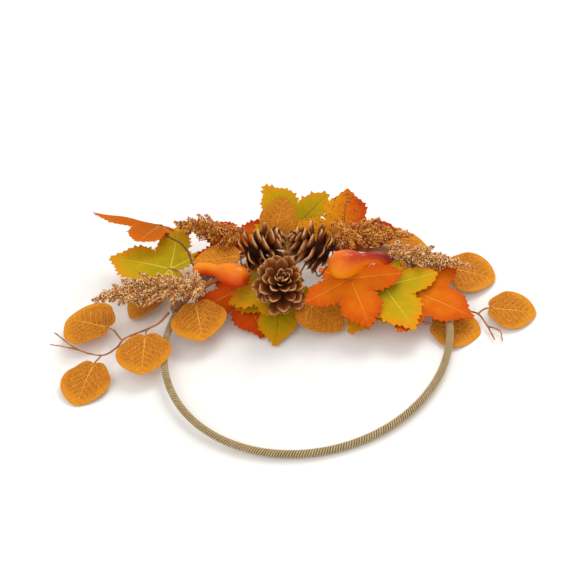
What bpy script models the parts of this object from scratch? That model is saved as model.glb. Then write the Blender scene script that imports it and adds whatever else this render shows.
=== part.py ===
"""Harvest door wreath: a jute-wrapped wire hoop carrying a swag of fabric autumn leaves, pine cones,
gourds, seed sprays and two penny-leaf branches.

Two flat frames share their axes: x to the right, y up towards 12 o'clock, z out of the wreath's front.
The hoop's frame starts at the hoop's centre. The swag's frame starts where the swag's stem crosses the
12 o'clock line, and every piece of the swag is placed in it, in millimetres on an arrangement that opens
up with its pieces. The wreath then lies on a floor with its top propped up a little by its back leaves.
Metres, +Z up.
"""

import math

import bmesh
import bpy
from mathutils import Matrix, Vector

MM = 0.001
GAP = 0.35 * MM  # between pieces that touch

# Hoop
HOOP_DIAMETER = 305 * MM  # over the jute
WRAP_DIAMETER = 8 * MM
CORE_DIAMETER = 4 * MM
HOOP_SEGMENTS = 48
WRAP_START = 10  # the segment, counted from the x axis, behind the swag where the jute's two ends meet
TUBE_SIDES = 8

# Swag stem and its fastening
SWAG_INSET = 30 * MM  # from the hoop's 12 o'clock in to the stem, as drawn
STEM_BEND_RADIUS = 205 * MM  # the stem is straighter than the hoop
STEM_REACH = 41.0  # degrees of its bend on each side
STEM_WIRE_DIAMETER = 3.2 * MM
TAPE_DIAMETER = 6 * MM
TIE_WIRE_DIAMETER = 1.2 * MM
TIE_SPACING = 7 * MM

# Pieces of the swag
MAPLE_LENGTH = 66 * MM  # of a middle-sized leaf, from its stalk to its tip
PENNY_LENGTH = 53 * MM
ROSE_LENGTH = 56 * MM
LEAF_THICKNESS = 0.7 * MM
LEAF_BEND = 0.06  # how far a leaf's tip droops, as a share of its length
LEAF_CUP = 0.03  # how far its edges rise
STALK_WIDTH = 2 * MM
CONE_DIAMETER = 48 * MM
FRONT_CONE_DIAMETER = 58 * MM
GOURD_BULB_DIAMETER = 30 * MM
GOURD_NECK_DIAMETER = 13 * MM
PICK_WIRE_DIAMETER = 1.4 * MM
SPRAY_DIAMETER = 27 * MM  # of the fullest spray where it is thickest
SPRAY_WIRE_DIAMETER = 1.6 * MM
TWIG_DIAMETER = 2.6 * MM
LYING_TILT = 4.0  # degrees that the back leaves prop up the hoop

# The sizes that the arrangement is drawn for. It opens up with whichever has grown the most.
DRAWN_BEND_RADIUS = 205 * MM
DRAWN_SIZES = (
    (HOOP_DIAMETER, 305 * MM),
    (MAPLE_LENGTH, 66 * MM),
    (PENNY_LENGTH, 53 * MM),
    (ROSE_LENGTH, 56 * MM),
    (CONE_DIAMETER, 48 * MM),
    (FRONT_CONE_DIAMETER, 58 * MM),
    (GOURD_BULB_DIAMETER, 30 * MM),
    (SPRAY_DIAMETER, 27 * MM),
    (STEM_BEND_RADIUS, DRAWN_BEND_RADIUS),
)
SPREAD = max(1.0, *(size / drawn for size, drawn in DRAWN_SIZES))

HOOP_RADIUS = (HOOP_DIAMETER - WRAP_DIAMETER) / 2  # to the middle of the tube
STEM_HEIGHT = WRAP_DIAMETER / 2 + GAP + TAPE_DIAMETER / 2  # the stem lies on the hoop's front
STEM_TOP = STEM_HEIGHT + TAPE_DIAMETER / 2
HOOP_BACK = -WRAP_DIAMETER / 2
SWAG_ORIGIN_Y = HOOP_RADIUS - SPREAD * SWAG_INSET

COLOURS = {
    "jute": ((0.52, 0.36, 0.19), 0.9, 0.0),
    "steel": ((0.30, 0.28, 0.26), 0.45, 1.0),
    "bark_tape": ((0.24, 0.12, 0.05), 0.8, 0.0),
    "olive_leaf": ((0.48, 0.36, 0.01), 0.6, 0.0),
    "orange_leaf": ((0.80, 0.19, 0.01), 0.6, 0.0),
    "red_leaf": ((0.62, 0.09, 0.01), 0.6, 0.0),
    "penny_leaf": ((0.50, 0.17, 0.02), 0.75, 0.0),
    "cone_scale": ((0.22, 0.10, 0.04), 0.7, 0.0),
    "gourd_skin": ((0.82, 0.20, 0.01), 0.25, 0.0),
    "seed_cream": ((0.70, 0.45, 0.20), 0.6, 0.0),
    "seed_copper": ((0.42, 0.17, 0.04), 0.6, 0.0),
    "seed_gold": ((0.68, 0.30, 0.05), 0.6, 0.0),
}


def clear_scene():
    for item in list(bpy.data.objects):
        bpy.data.objects.remove(item, do_unlink=True)


def material(name):
    found = bpy.data.materials.get(name)
    if found:
        return found
    colour, roughness, metallic = COLOURS[name]
    made = bpy.data.materials.new(name)
    made.use_nodes = True
    shader = made.node_tree.nodes["Principled BSDF"]
    shader.inputs["Base Color"].default_value = (*colour, 1.0)
    shader.inputs["Roughness"].default_value = roughness
    shader.inputs["Metallic"].default_value = metallic
    made.diffuse_color = (*colour, 1.0)
    return made


def empty(name, parent=None, location=(0, 0, 0), rotation=(0, 0, 0)):
    made = bpy.data.objects.new(name, None)
    bpy.context.scene.collection.objects.link(made)
    made.parent = parent
    made.location = location
    made.rotation_euler = rotation
    return made


def add_object(name, bm, material_name, parent, location=(0, 0, 0), rotation=None, smooth=True):
    """Turn a bmesh into a named object. Its mesh is in its own frame, given by location and rotation."""
    bmesh.ops.recalc_face_normals(bm, faces=bm.faces)
    mesh = bpy.data.meshes.new(name)
    bm.to_mesh(mesh)
    bm.free()
    mesh.materials.append(material(material_name))
    if smooth:
        mesh.shade_smooth()
        mesh.set_sharp_from_angle(angle=math.radians(40))
    made = bpy.data.objects.new(name, mesh)
    bpy.context.scene.collection.objects.link(made)
    made.parent = parent
    made.location = location
    if rotation is not None:
        made.rotation_euler = rotation
    return made


# Curves and swept tubes


def smooth_path(points, steps):
    """A Catmull-Rom curve through the points, with this many steps between two of them."""
    points = [Vector(p) for p in points]
    ends = [2 * points[0] - points[1]] + points + [2 * points[-1] - points[-2]]
    path = []
    for i in range(1, len(ends) - 2):
        a, b, c, d = ends[i - 1:i + 3]
        for k in range(steps):
            t = k / steps
            path.append(0.5 * (2 * b + (c - a) * t + (2 * a - 5 * b + 4 * c - d) * t * t
                               + (3 * b - a - 3 * c + d) * t ** 3))
    path.append(points[-1])
    return path


def bezier(start, leave, arrive, end, steps):
    path = []
    for k in range(steps + 1):
        t = k / steps
        weights = ((1 - t) ** 3, 3 * t * (1 - t) ** 2, 3 * t * t * (1 - t), t ** 3)
        path.append(sum((w * h for w, h in zip(weights, (start, leave, arrive, end))), Vector((0, 0, 0))))
    return path


def path_frames(path, closed):
    """For each point of a path, two directions across it, carried along without twisting."""
    count = len(path)
    frames = []
    across = None
    for i in range(count):
        before = path[i - 1] if closed or i else path[i]
        after = path[(i + 1) % count] if closed or i < count - 1 else path[i]
        along = (after - before).normalized()
        if across is None:
            across = along.cross(Vector((0, 0, 1)))
            if across.length < 0.1:
                across = along.cross(Vector((0, 1, 0)))
        across = (across - along * across.dot(along)).normalized()
        frames.append((across, along.cross(across)))
    return frames


def ring(bm, centre, frame, radius, sides):
    """A ring of vertices with flats, not corners, facing along the frame's directions."""
    corner = radius / math.cos(math.pi / sides)
    turn = [2 * math.pi * (k + 0.5) / sides for k in range(sides)]
    return [bm.verts.new(centre + corner * (math.cos(a) * frame[0] + math.sin(a) * frame[1])) for a in turn]


def bridge(bm, first, second):
    count = len(first)
    for k in range(count):
        bm.faces.new((first[k], first[(k + 1) % count], second[(k + 1) % count], second[k]))


def sweep(bm, path, radii, bore=0.0, closed=False, sides=TUBE_SIDES):
    """Sweep a polygon along a path, solid or with an open bore. radii is a number or a list."""
    if not hasattr(radii, "__len__"):
        radii = [radii] * len(path)
    frames = path_frames(path, closed)
    outer = [ring(bm, p, f, r, sides) for p, f, r in zip(path, frames, radii)]
    inner = [ring(bm, p, f, bore, sides) for p, f in zip(path, frames)] if bore else None
    pairs = list(zip(range(len(path)), range(1, len(path))))
    if closed:
        pairs.append((len(path) - 1, 0))
    for a, b in pairs:
        bridge(bm, outer[a], outer[b])
        if inner:
            bridge(bm, inner[b], inner[a])
    if closed:
        return
    for end in (0, -1):
        if inner:
            bridge(bm, outer[end], inner[end])
        else:
            bm.faces.new(outer[end])


def tube(name, path, radii, material_name, parent, bore=0.0, closed=False, sides=TUBE_SIDES, origin=None):
    """A swept object whose origin is a point of its own, so that it can turn about it."""
    start = Vector(origin) if origin is not None else Vector((0, 0, 0))
    bm = bmesh.new()
    sweep(bm, [Vector(p) - start for p in path], radii, bore, closed, sides)
    return add_object(name, bm, material_name, parent, location=start)


# The hoop


def hoop_path(first, count):
    """Corners of the hoop's circle, from the first of its segments on. A segment is centred on 12 o'clock."""
    angles = [2 * math.pi * (first + k + 0.5) / HOOP_SEGMENTS for k in range(count)]
    return [HOOP_RADIUS * Vector((math.cos(a), math.sin(a), 0)) for a in angles]


def make_hoop(wreath):
    tube("hoop_core", hoop_path(0, HOOP_SEGMENTS), CORE_DIAMETER / 2, "steel", wreath, closed=True)
    wrap = hoop_path(WRAP_START, HOOP_SEGMENTS)
    tube("jute_wrap", wrap, WRAP_DIAMETER / 2, "jute", wreath, bore=CORE_DIAMETER / 2 + GAP)


# The swag's stem


def swag_point(x, y, layer, height):
    """A place in the swag, from millimetres: height is above the stem's top ("front"), above the hoop's
    middle plane ("mid") or above the hoop's back ("back", where it is negative)."""
    base = {"front": STEM_TOP, "mid": 0.0, "back": HOOP_BACK}[layer]
    return Vector((x * MM * SPREAD, y * MM * SPREAD, base + height * MM * SPREAD))


def stem_bend():
    return max(STEM_BEND_RADIUS, SPREAD * DRAWN_BEND_RADIUS)


def stem_point(phi):
    a = math.radians(phi)
    bend = stem_bend()
    return Vector((bend * math.sin(a), bend * (math.cos(a) - 1), STEM_HEIGHT))


def stem_side(phi, side):
    """Just off the stem's tape at phi, on its outer side (0), its front (90) or its inner side (180)."""
    a = math.radians(phi)
    s = math.radians(side)
    outward = Vector((math.sin(a), math.cos(a), 0))
    reach = TAPE_DIAMETER / 2 + 2 * GAP + LEAF_THICKNESS
    return stem_point(phi) + reach * (math.cos(s) * outward + math.sin(s) * Vector((0, 0, 1)))


def make_stem(swag):
    count = 20
    path = [stem_point(-STEM_REACH + 2 * STEM_REACH * k / count) for k in range(count + 1)]
    tube("swag_wire", path, STEM_WIRE_DIAMETER / 2, "steel", swag)
    tube("swag_tape", path, TAPE_DIAMETER / 2, "bark_tape", swag, bore=STEM_WIRE_DIAMETER / 2 + GAP)


def crossing():
    """Where the stem's bend crosses the hoop, in the hoop's frame, on the right-hand side."""
    centre_y = SWAG_ORIGIN_Y - stem_bend()
    y = (HOOP_RADIUS ** 2 - stem_bend() ** 2 + centre_y ** 2) / (2 * centre_y)
    return Vector((math.sqrt(HOOP_RADIUS ** 2 - y ** 2), y, 0))


def circle_meets_plane(centre, radius, point, normal):
    """The point of a circle in the xy plane that lies in a plane across it, nearest to a point."""
    offset = (point - centre).dot(normal)
    foot = centre + offset * normal
    half = math.sqrt(radius ** 2 - offset ** 2)
    side = Vector((-normal.y, normal.x, 0))
    return min((foot + half * side, foot - half * side), key=lambda p: (p - point).length)


def tie_path(point, along):
    """A belt of wire round the hoop and the stem, in the plane through point across along."""
    across = Vector((-along.y, along.x, 0))
    hoop = circle_meets_plane(Vector((0, 0, 0)), HOOP_RADIUS, point, along)
    stem = circle_meets_plane(Vector((0, SWAG_ORIGIN_Y - stem_bend(), 0)), stem_bend(), point, along)
    stem.z = STEM_HEIGHT
    lean = 1.12  # a tube cut slantwise is a little wider
    clear = TIE_WIRE_DIAMETER / 2 + GAP
    discs = ((hoop, WRAP_DIAMETER / 2 * lean / math.cos(math.pi / TUBE_SIDES) + clear),
             (stem, TAPE_DIAMETER / 2 * lean / math.cos(math.pi / TUBE_SIDES) + clear))
    apart = discs[1][0] - discs[0][0]
    base = math.atan2(apart.z, apart.dot(across))
    slope = math.acos((discs[0][1] - discs[1][1]) / apart.length)
    path = []
    for (centre, radius), turn in zip(discs, (2 * math.pi - 2 * slope, 2 * slope)):
        middle = base + (math.pi if centre is hoop else 0)
        for k in range(9):
            a = middle + turn * (k / 8 - 0.5)
            path.append(centre + radius * (math.cos(a) * across + math.sin(a) * Vector((0, 0, 1))))
    return path


def make_ties(wreath):
    right = crossing()
    for side, name in ((-1, "left"), (1, "right")):
        point = Vector((side * right.x, right.y, 0))
        hoop_along = Vector((point.y, -point.x, 0)).normalized()
        from_centre = point - Vector((0, SWAG_ORIGIN_Y - stem_bend(), 0))
        stem_along = Vector((from_centre.y, -from_centre.x, 0)).normalized()
        along = (hoop_along + stem_along).normalized()
        for k in (-1, 1):
            path = tie_path(point + k * TIE_SPACING / 2 * along, along)
            number = 1 if k < 0 else 2
            tube(f"tie_wire_{name}_{number}", path, TIE_WIRE_DIAMETER / 2, "steel", wreath,
                 closed=True, sides=6)


# Leaves


def maple_outline(length, lower):
    """Half of a five-lobed leaf, from its tip round to its stalk, as angles and shares of the length.
    lower is how far its lowest lobes reach."""
    half = ((0, 1.0), (8, 0.84), (19, 0.74), (36, 0.58), (54, 0.66), (64, 0.72), (76, 0.86),
            (88, 0.68), (104, 0.48), (118, 0.84 * lower), (128, lower), (140, 0.70 * lower),
            (156, 0.42 * lower), (172, 0.12))
    return [Vector((length * r * math.cos(math.radians(a)), length * r * math.sin(math.radians(a)), 0))
            for a, r in half]


def oval_outline(length, width, skew, fullness, count=10):
    """Half of a rounded leaf: skew moves its widest place, fullness under 1 makes it rounder."""
    points = []
    for k in range(count):
        s = 0.5 + 0.5 * math.cos(math.pi * k / count)
        half_width = width / 2 * math.sin(math.pi * s ** skew) ** fullness if k else 0.0
        points.append(Vector((length * s, half_width, 0)))
    return points


def leaf_outline(kind, length, lower):
    if kind == "maple":
        return maple_outline(length, lower)
    if kind == "penny":
        return oval_outline(length, 1.08 * length, 0.90, 0.60)
    return oval_outline(length, 0.88 * length, 0.80, 0.76)


def stalk_path(base, heading, attach, pull):
    """From the leaf's base back to where it is bound in."""
    start, leave = attach
    reach = (base - start).length * 0.4
    level = Vector((heading.x, heading.y, 0)).normalized()
    return bezier(start, start + leave * reach * pull, base - level * reach, base, 6)


def make_leaf(name, kind, length, base, heading, pitch, roll, attach, parent, colour,
              parent_at=Vector((0, 0, 0)), pull=1.0, lower=0.60, narrow=1.0, fold=0.0):
    """A stamped leaf with its stalk, one thin sheet. The base is where the blade meets its stalk. lower
    is the reach of a maple's lowest lobes, and fold is how far its sides drop from its midrib. parent_at
    is the parent's place in the swag."""
    turn = Matrix.Rotation(math.radians(heading), 4, "Z") @ Matrix.Rotation(math.radians(-pitch), 4, "Y")
    turn = turn @ Matrix.Rotation(math.radians(roll), 4, "X")
    place = Matrix.Translation(base) @ turn
    ahead = (turn @ Vector((1, 0, 0))).normalized()
    half = [Vector((p.x, narrow * p.y, 0)) for p in leaf_outline(kind, length, lower)]
    outline = half + [Vector((p.x, -p.y, 0)) for p in reversed(half[1:])]
    for p in outline:
        p.z = (LEAF_CUP * p.y * p.y - LEAF_BEND * p.x * abs(p.x)) / length - fold * abs(p.y)
    path = [place.inverted() @ p for p in stalk_path(base, ahead, attach, pull)]
    half_width = Vector((0, STALK_WIDTH / 2, 0))
    bm = bmesh.new()
    rim = [bm.verts.new(p) for p in outline]
    joint = (bm.verts.new(half_width), bm.verts.new(-half_width))
    middle = bm.verts.new(Vector((0.30 * length, 0, 0)))
    loop = rim[:len(half)] + [joint[0], joint[1]] + rim[len(half):]
    for k in range(len(loop)):
        bm.faces.new((middle, loop[k], loop[(k + 1) % len(loop)]))
    last = joint
    for k in range(len(path) - 2, -1, -1):
        along = (path[k + 1] - path[k - 1]) if k else (path[1] - path[0])
        across = Vector((0, 0, 1)).cross(along)
        across = across.normalized() if across.length > 1e-9 else Vector((0, 1, 0))
        step = (bm.verts.new(path[k] + across * STALK_WIDTH / 2),
                bm.verts.new(path[k] - across * STALK_WIDTH / 2))
        bm.faces.new((last[0], last[1], step[1], step[0]))
        last = step
    made = add_object(name, bm, colour, parent, location=base - parent_at,
                      rotation=turn.to_euler())
    thick = made.modifiers.new("thickness", "SOLIDIFY")
    thick.thickness = LEAF_THICKNESS
    thick.offset = 0.0
    return made


def bound_to_stem(phi, side):
    """Where a stalk is bound to the swag's stem, and the direction in which it leaves."""
    point = stem_side(phi, side)
    return point, (point - stem_point(phi)).normalized()


# name, colour, share of MAPLE_LENGTH, base (x, y, layer, height), heading, pitch, roll, bound at, shape
MAPLES = (
    ("maple_orange_centre", "orange_leaf", 0.94, (58, -79, "front", 19.5), -82, -10, 0, (14, 180),
     {"lower": 0.56}),
    ("maple_olive_right", "olive_leaf", 1.00, (91, -87, "front", 7), -74, -1.5, 0, (21, 180),
     {"lower": 0.52}),
    ("maple_orange_right", "orange_leaf", 1.02, (121, -97, "mid", 10.5), -42, -3, 0, (30, 180),
     {"lower": 0.5}),
    ("maple_olive_low", "olive_leaf", 0.66, (77, -94, "mid", 6), -137, -12, 0, (17, 180), {}),
    ("maple_olive_bottom", "olive_leaf", 0.96, (-16, -54, "front", -6.85), -105.5, -10, 0, (-4, 180),
     {"lower": 0.45}),
    ("maple_olive_centre", "olive_leaf", 0.70, (-27, -52, "front", 1.4), -174, -3, 0, (2, 180),
     {"lower": 0.35}),
    ("maple_orange_left", "orange_leaf", 1.06, (-56, -30, "mid", 1.5), -80, -8, 0, (-18, 180),
     {"lower": 0.3}),
    ("maple_olive_left", "olive_leaf", 1.14, (-133, 15, "mid", 7), 153, 6, 0, (-34, 60),
     {"lower": 0.5}),
    ("maple_red", "red_leaf", 0.86, (-57, 26, "mid", 8), 115, 4, -3, (-17, 90), {"pull": 0.4}),
    ("maple_olive_top", "olive_leaf", 0.95, (16, 39, "front", 1.65), 118, 25, 0, (4, 90), {"pull": 0.4}),
    ("maple_spotted", "red_leaf", 0.90, (61, -7, "front", 8), 70, 33, 0, (13, 90),
     {"pull": 0.3, "lower": 0.28}),
)

# The same for the round penny leaves and the rose leaves that are bound to the swag's own stem
ROUND_LEAVES = (
    ("penny_left_back", "penny", 1.06, (-140, -12, "back", 2), 155, -18.7, 0, (-38, 0), 1.0),
    ("penny_left_inner", "penny", 0.92, (-108, -52, "front", 1.6), -87, -7, 0, (-29, 180), 1.0),
    ("penny_right_top", "penny", 1.06, (103, -6, "back", -3.2), -12, -11.2, 0, (26, -90), 1.0),
    ("penny_right_upper", "penny", 0.98, (165, -59, "back", 1), -25, -8, 0, (39.5, 0), 1.0),
    ("penny_right_under", "penny", 0.92, (132, -132, "back", -2.3), -25, -3, 0, (32, 200), 1.0),
    ("rose_left", "rose", 0.86, (-53, 4, "front", 5), 174, 2, 0, (-12, 90), 0.6),
    ("rose_top", "rose", 0.90, (-12, 20, "front", 4), 59, 44, 0, (-5, 90), 0.6),
    ("rose_bottom", "rose", 1.04, (3, -73, "front", -0.4), -48, -14, 0, (6, 180), 1.0),
)


def make_swag_leaves(swag):
    for name, colour, share, base, heading, pitch, roll, bound, shape in MAPLES:
        make_leaf(name, "maple", share * MAPLE_LENGTH, swag_point(*base), heading, pitch, roll,
                  bound_to_stem(*bound), swag, colour, **shape)
    lengths = {"penny": PENNY_LENGTH, "rose": ROSE_LENGTH}
    for name, kind, share, base, heading, pitch, roll, bound, pull in ROUND_LEAVES:
        make_leaf(name, kind, share * lengths[kind], swag_point(*base), heading, pitch, roll,
                  bound_to_stem(*bound), swag, "penny_leaf", pull=pull)


# Branches of penny leaves


def forked_stem(name, main, twigs, radius, parent, hinge):
    """A stem with side twigs, joined into one body."""
    bm = bmesh.new()
    sweep(bm, [p - hinge for p in main], tapered(radius, 0.6 * radius, len(main)), sides=6)
    made = add_object(name, bm, "bark_tape", parent)
    for number, path in enumerate(twigs, 1):
        cut = bmesh.new()
        sweep(cut, [p - hinge for p in path], tapered(0.7 * radius, 0.4 * radius, len(path)), sides=6)
        guide = add_object(f"{name}_twig_{number}", cut, "bark_tape", parent)
        guide.hide_render = True
        guide.display_type = "WIRE"
        join = made.modifiers.new(f"twig {number}", "BOOLEAN")
        join.operation = "UNION"
        join.solver = "EXACT"
        join.object = guide
    return made


def tapered(first, last, count):
    return [first + (last - first) * k / (count - 1) for k in range(count)]


def beside(path, at, side):
    """A point just off a stem where a leaf's stalk is bound to it, and the way it leaves."""
    index = round(at * (len(path) - 1))
    along = (path[min(index + 1, len(path) - 1)] - path[index - 1]).normalized()
    out = Vector((-along.y, along.x, 0)).normalized() * side
    return path[index] + out * (TWIG_DIAMETER / 2 + STALK_WIDTH / 2 + GAP), out


def points(*rows):
    return [swag_point(*row) for row in rows]


def make_left_branch(swag):
    start = stem_point(-STEM_REACH - 1.5)
    main = [start] + points((-149, -66, "front", -2.5), (-164, -71, "front", -4), (-188, -72, "mid", 1),
                            (-199, -81, "mid", -2), (-216, -86, "mid", -3), (-242, -69, "mid", -4),
                            (-268, -36, "mid", -6))
    path = smooth_path(main, 4)
    twig = smooth_path(points((-240, -71, "mid", -4), (-258, -60, "mid", -5), (-273, -52, "mid", -6)), 3)
    branch = empty("left_branch_hinge", swag, start)
    forked_stem("left_branch_stem", path, [twig], TWIG_DIAMETER / 2, branch, start)
    rows = (
        ("penny_left_far", 1.10, (-208, -47, "mid", -3), 145, -4, (0.46, -1)),
        ("penny_left_lower", 0.92, (-165, -82, "front", -1.2), -98, -3, (0.29, 1)),
        ("penny_left_low", 0.98, (-224, -94, "mid", -5), -115, -4, (0.71, 1)),
    )
    for name, share, base, heading, pitch, (at, side) in rows:
        make_leaf(name, "penny", share * PENNY_LENGTH, swag_point(*base), heading, pitch, 0,
                  beside(path, at, side), branch, "penny_leaf", parent_at=start)


def make_right_branch(swag):
    start = stem_point(STEM_REACH + 1.5)
    main = [start] + points((152, -78, "mid", 0), (159, -100, "mid", -4), (165, -121, "mid", -5),
                            (179, -131, "mid", -6), (184, -150, "mid", -7), (186, -168, "mid", -7))
    path = smooth_path(main, 4)
    twig = smooth_path(points((184, -149, "mid", -7), (194, -158, "mid", -7), (193, -172, "mid", -7)), 3)
    branch = empty("right_branch_hinge", swag, start)
    forked_stem("right_branch_stem", path, [twig], TWIG_DIAMETER / 2, branch, start)
    make_leaf("penny_right_far", "penny", 0.88 * PENNY_LENGTH, swag_point(193, -127, "mid", -5), -18, -4,
              0, beside(path, 0.66, 1), branch, "penny_leaf", parent_at=start)


def make_flag(swag):
    """The twig that stands out over the left of the swag, and the leaf folded over its end."""
    start = stem_side(-27, 60)
    path = smooth_path([start] + points((-105, 0, "front", 8), (-109, 19, "front", 11),
                                        (-117, 37, "front", 12), (-131, 53, "front", 11)), 4)
    flag = empty("flag_hinge", swag, start)
    radii = tapered(TWIG_DIAMETER / 2, TWIG_DIAMETER / 3, len(path))
    tube("flag_twig", [p - start for p in path], radii, "bark_tape", flag, sides=6)
    onward = (path[-1] - path[-2]).normalized()
    make_leaf("maple_flag", "maple", 1.22 * MAPLE_LENGTH, swag_point(-136, 64.5, "front", 20.5), 156, 12, 33,
              (path[-1] + onward * 2 * GAP, onward), flag, "orange_leaf", parent_at=start,
              pull=0.5, lower=0.3, narrow=0.56, fold=0.4)


# Pine cones, gourds and seed sprays


def make_cone(name, centre, diameter, squat, axis, swag):
    """A pine cone as rows of scales that stand out in turn, base at -axis, tip at +axis."""
    rows = 9
    around = 16
    radius = diameter / 2
    height = diameter * squat
    turn = Vector((0, 0, 1)).rotation_difference(Vector(axis).normalized())
    bm = bmesh.new()
    rings = []
    for i in range(rows + 1):
        s = i / rows
        width = radius * (0.55 + 0.45 * math.sin(math.pi * min(1.0, s * 2.2) / 2)) * (1 - s ** 2.6 * 0.72)
        shape = []
        for k in range(around):
            a = 2 * math.pi * k / around
            stand = 1.0 if (k + 2 * i) % 4 < 2 else 0.86
            shape.append(bm.verts.new(turn @ Vector((width * stand * math.cos(a),
                                                     width * stand * math.sin(a),
                                                     height * (s - 0.5)))))
        rings.append(shape)
    for a, b in zip(rings, rings[1:]):
        bridge(bm, a, b)
    bm.faces.new(rings[0])
    bm.faces.new(rings[-1])
    add_object(name, bm, "cone_scale", swag, location=centre, smooth=False)


def pick_wire(name, start, leave, phi, side, low, swag):
    """The wire that holds a cone or a gourd, from its end to the swag's stem. It leaves the piece by the
    vector leave, and it runs level for about the length low before it meets the stem."""
    bound, outward = bound_to_stem(phi, side)
    path = bezier(start, start + leave, bound + outward * low, bound, 8)
    tube(name, path, PICK_WIRE_DIAMETER / 2, "steel", swag, sides=6)


def make_cones(swag):
    rows = (
        ("pinecone_left", CONE_DIAMETER, 0.98, (-25, -12, "front", 24.5), (0.96, 0.10, 0.25), -15, 150),
        ("pinecone_right", CONE_DIAMETER, 0.98, (25, -25, "front", 24.0), (-0.75, 0.35, 0.55), 15, 180),
        ("pinecone_front", FRONT_CONE_DIAMETER, 0.56, (-14, -74, "front", 23), (0, -0.10, 1), -1, 180),
    )
    for name, diameter, squat, centre, axis, phi, side in rows:
        axis = Vector(axis).normalized()
        centre = swag_point(*centre)
        make_cone(name, centre, diameter, squat, axis, swag)
        start = centre - axis * (diameter * squat / 2 + 3 * GAP)
        pick_wire(name.replace("pinecone", "cone_pick"), start, -axis * 8 * MM, phi, side, 12 * MM, swag)


def make_gourd(name, along, bulb, swag):
    """A glossy bottle gourd: bulb first, then a neck that ends in a rounded tip."""
    path = smooth_path(along, 5)
    neck = GOURD_NECK_DIAMETER / 2
    radii = []
    for k in range(len(path)):
        s = k / (len(path) - 1)
        bulge = math.sqrt(max(0.0, 1 - ((s - 0.30) / 0.31) ** 2))
        taper = neck * (0.92 + 0.25 * s) * min(1.0, math.sqrt(max(0.0, (1.02 - s) / 0.12)))
        radii.append(max(bulb * bulge, taper if s > 0.3 else 0.3 * bulb * min(1.0, s * 20), 0.12 * bulb))
    tube(name, path, radii, "gourd_skin", swag, sides=12)
    return path


def make_gourds(swag):
    bulb = GOURD_BULB_DIAMETER / 2
    left = points((-45, -47, "front", 21), (-59, -44, "front", 21.5), (-74, -34, "front", 22),
                  (-90, -23, "front", 20.5), (-105, -19, "front", 18.5))
    right = points((37, -75, "front", 38), (51, -76, "front", 38), (68, -75, "front", 38),
                   (88, -75, "front", 38), (103, -80, "front", 32))
    make_gourd("gourd_left", left, 0.86 * bulb, swag)
    make_gourd("gourd_right", right, bulb, swag)
    rows = (
        ("gourd_pick_left", left, (26, 4, -10), -6, 34 * MM),
        ("gourd_pick_right", right, (-5, 0, -6), 8, 60 * MM),
    )
    for name, gourd, leave, phi, low in rows:
        start = gourd[0] + (gourd[0] - gourd[1]).normalized() * 3 * GAP
        pick_wire(name, start, Vector(leave) * MM, phi, 180, low, swag)


def make_spray(name, colour, share, along, phi, side, swag):
    """A spray of seeds: a full head threaded on its wire stalk, which is bound to the swag's stem and
    bends there."""
    path = smooth_path(along, 5)
    bore = SPRAY_WIRE_DIAMETER / 2 + GAP
    full = share * SPRAY_DIAMETER / 2
    radii = []
    for k in range(len(path)):
        s = k / (len(path) - 1)
        lumps = 1.0 if k % 2 else 0.86
        radii.append(max(bore + 0.8 * MM, full * lumps * (0.55 + 0.9 * s) if s < 0.5
                         else full * lumps * (1 - 0.75 * (2 * s - 1) ** 1.6)))
    bound, leave = bound_to_stem(phi, side)
    tube(name, path, radii, colour, swag, bore=bore, origin=bound)
    inward = (path[1] - path[0]).normalized()
    lead = bezier(bound, bound + leave * 6 * MM, path[0] - inward * 5 * MM, path[0] - inward * MM, 6)
    lead.append(path[0])
    tube(name.replace("spray", "spray_stalk"), lead[:-1] + path, SPRAY_WIRE_DIAMETER / 2, "bark_tape", swag,
         sides=6, origin=bound)


def make_sprays(swag):
    rows = (
        ("spray_cream_left", "seed_cream", 1.0, ((-108, -46, "front", 22), (-132, -39, "front", 20),
         (-160, -31, "front", 16.5), (-190, -24, "front", 11), (-221, -18, "front", 4)), -30, 90),
        ("spray_copper", "seed_copper", 0.76, ((-52, 24, "front", 13), (-68, 37, "front", 14),
         (-86, 50, "front", 14), (-104, 62, "front", 12), (-122, 78, "front", 9)), -11, 60),
        ("spray_gold", "seed_gold", 0.70, ((52, -18, "front", 24), (72, -19, "front", 24),
         (90, -19, "front", 23), (112, -24, "front", 20), (136, -31, "front", 16)), 17, 150),
        ("spray_cream_right", "seed_cream", 0.64, ((106, -48, "front", 14), (122, -55, "front", 13),
         (142, -65, "front", 12), (164, -75, "front", 9), (187, -84, "front", 4)), 22, 120),
    )
    for name, colour, share, rows_of_points, phi, side in rows:
        make_spray(name, colour, share, points(*rows_of_points), phi, side, swag)


def lay_down(wreath):
    """Put the wreath on the floor, with the origin at the middle of the bottom of its outline."""
    bpy.context.view_layer.update()
    depsgraph = bpy.context.evaluated_depsgraph_get()
    low = Vector((9, 9, 9))
    high = -low
    for item in bpy.context.scene.objects:
        if item.type != "MESH" or item.hide_render:
            continue
        shape = item.evaluated_get(depsgraph)
        for vertex in shape.to_mesh().vertices:
            place = shape.matrix_world @ vertex.co
            low = Vector(map(min, low, place))
            high = Vector(map(max, high, place))
        shape.to_mesh_clear()
    wreath.location -= Vector(((low.x + high.x) / 2, (low.y + high.y) / 2, low.z))
    bpy.context.view_layer.update()


def build():
    clear_scene()
    wreath = empty("wreath", rotation=(math.radians(LYING_TILT), 0, 0))
    swag = empty("swag", wreath, (0, SWAG_ORIGIN_Y, 0))
    make_hoop(wreath)
    make_stem(swag)
    make_ties(wreath)
    make_swag_leaves(swag)
    make_left_branch(swag)
    make_right_branch(swag)
    make_flag(swag)
    make_cones(swag)
    make_gourds(swag)
    make_sprays(swag)
    lay_down(wreath)


build()
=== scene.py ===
import math
import random

import bmesh
import bpy
import numpy as np
from mathutils import Matrix, Vector
from mathutils.geometry import delaunay_2d_cdt


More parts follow.
